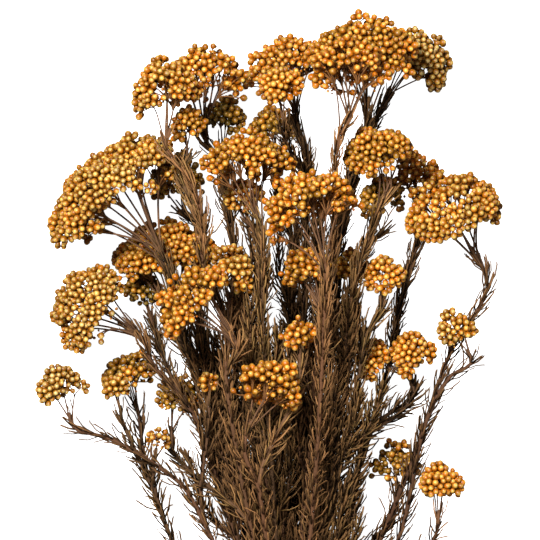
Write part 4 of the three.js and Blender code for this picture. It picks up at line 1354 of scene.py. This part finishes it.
needle_total = 0
for stem in range(len(STEMS)):
    blocks = []
    step = NEEDLE_STEP * OPEN_STEMS.get(stem, 1)
    for strand, path, crown in zip(strands, paths, crowns):
        if strand.stem != stem:
            continue
        s = np.append(np.arange(0, path.total, 4.0), path.total)
        point, _, radius = path.at(s)
        knobs = 1 + KNOB_HEIGHT * rng.normal(0, 1, len(s))
        look = rng.normal(0, 0.06), rng.uniform(0, 0.65)
        sides = 6 if strand.place else 8
        wood = tube(point, WOOD_SHARE * radius * knobs, sides, BARK, look[1])
        # Painted light and shade: the bark is lighter high in the bunch and darker low in it.
        wood["shade"] = np.repeat(0.15 + 0.6 * outer_share(point), sides)
        wood["tip"] = np.zeros(len(wood["tip"]))
        blocks.append(wood)
        blocks.extend(ray_blocks(strand, path, crown))
        begin = 4.0 if strand.place else path.length_to(LEAFY_FROM)
        end = path.total - BARE_UNDER_HEAD - 0.08 * strand.top.radius
        spread = rng.uniform(*SPREAD_AT_FOOT) * (WIDER_IF_OPEN if stem in OPEN_STEMS else 1)
        upper = max(begin, min(end, path.length_to(DENSE_FROM)))
        blocks.extend(leafy_stretch(stem, path, begin, upper, step, spread, SPREAD_AT_TOP, look))
        blocks.extend(leafy_stretch(stem, path, upper, end, 0.6 * step, SPREAD_DENSE,
                                    SPREAD_UNDER_HEAD, look))
        if not strand.place:
            many = SHOOTS_OPEN if stem in OPEN_STEMS else SHOOTS
            shoots = rng.uniform(begin + 10, path.length_to(SHOOTS_UP_TO), many)
            spots = path.at(shoots)[0]
            aside = np.abs(bunch_share(spots, 0, 10, 90) - 0.5)
            shoots = shoots[(outer_share(spots) < rng.uniform(0.05, 0.7, many)) & (aside < 0.42)]
            for s in shoots[shoots < end - 30]:
                blocks.extend(side_shoot(stem, path, s, look))
    needle_total += sum(b["slot"] == LEAF and len(b["flat"]) // len(needle_shapes[0]["flat"])
                        for b in blocks)
    piece = make_mesh(f"stem_with_needles_{stem + 1:02d}", blocks, [bark, leaf, stalk])
    dress(piece, f"leafy_stem_{stem + 1:02d}")
print("needles:", needle_total)

# %% [markdown]
# ## Jute twine
# The photograph cuts the stems off above the tie. A florist ties such a bunch with jute twine,
# three strands twisted together and wound round in turns side by side. Each ply is a tube that
# coils about the twine's own path. Where the bunch lies on it, the twine is pressed flat. Jute
# is spun bast fibre, coarse and quite dull, pale brown with darker fibres in it.

# %% Jute twine
PLY_OFFSET, PLY_RADIUS, TWIST_LENGTH = 0.58, 0.62, 6.5
STEPS_A_TURN = 60
WOUND_SHARE = 0.8         # of the tie's width that the middle of the twine moves along
TUCKED_FROM, TUCKED_OVER, TUCK_DEPTH = 0.488, 0.012, 1.6
FIBRE_WIDTH = 0.25 * MM   # real fibres are nearer 0.05 mm, and wouldn't show at all
FIBRE_RELIEF = 0.15 * MM

jute, tree, shader = new_material("jute_twine", 0.95)
fibre = relief(tree, shader, 0.5 / FIBRE_WIDTH, 4, 0.6, FIBRE_RELIEF)
colour = add_node(tree, "ShaderNodeValToRGB", links={"Fac": fibre},
                  colours=[(0.3, "#7d6240"), (0.7, "#c4a678")])
tree.links.new(colour.outputs[0], shader.inputs["Base Color"])

turns = np.linspace(0, 1, STEPS_A_TURN * TWINE_TURNS + 1)
angle = 2 * math.pi * TWINE_TURNS * turns
tuck = np.clip((np.abs(turns - 0.5) - TUCKED_FROM) / TUCKED_OVER, 0, 1) * TUCK_DEPTH
reach = TIE_BORE + TWINE_THICKNESS / 2 - tuck
around = np.stack([np.cos(angle), np.zeros_like(angle), np.sin(angle)], 1)
centre = around * reach[:, None]
centre[:, 1] = TWINE_PITCH * TWINE_TURNS * WOUND_SHARE * (turns - 0.5)
centre[:, 2] += TIE_Z
blocks = []
for ply in range(3):
    twist = 2 * math.pi * (turns * TWINE_TURNS * 2 * math.pi * TIE_BORE / TWIST_LENGTH + ply / 3)
    offset = np.cos(twist)[:, None] * around + np.sin(twist)[:, None] * [0, 1, 0]
    block = tube(centre + PLY_OFFSET * offset, np.full(len(turns), PLY_RADIUS), 6, 0)
    block["verts"][:, 2] = np.maximum(block["verts"][:, 2], 0)
    blocks.append(block)
twine = make_mesh("wound_twine", blocks, [jute])
dress(twine, "twine_tie")
print("twine faces:", len(twine.data.polygons))

# %% [markdown]
# ## Sizes
# The pieces that the looks add are counted, with their triangles.

# %% Sizes
added = [piece.data for piece in bpy.data.objects
         if piece.type == "MESH" and "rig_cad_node" not in piece and piece is not floor]
triangles = sum(len(mesh.loops) - 2 * len(mesh.polygons) for mesh in added)
print("pieces:", len(added), "triangles:", triangles)
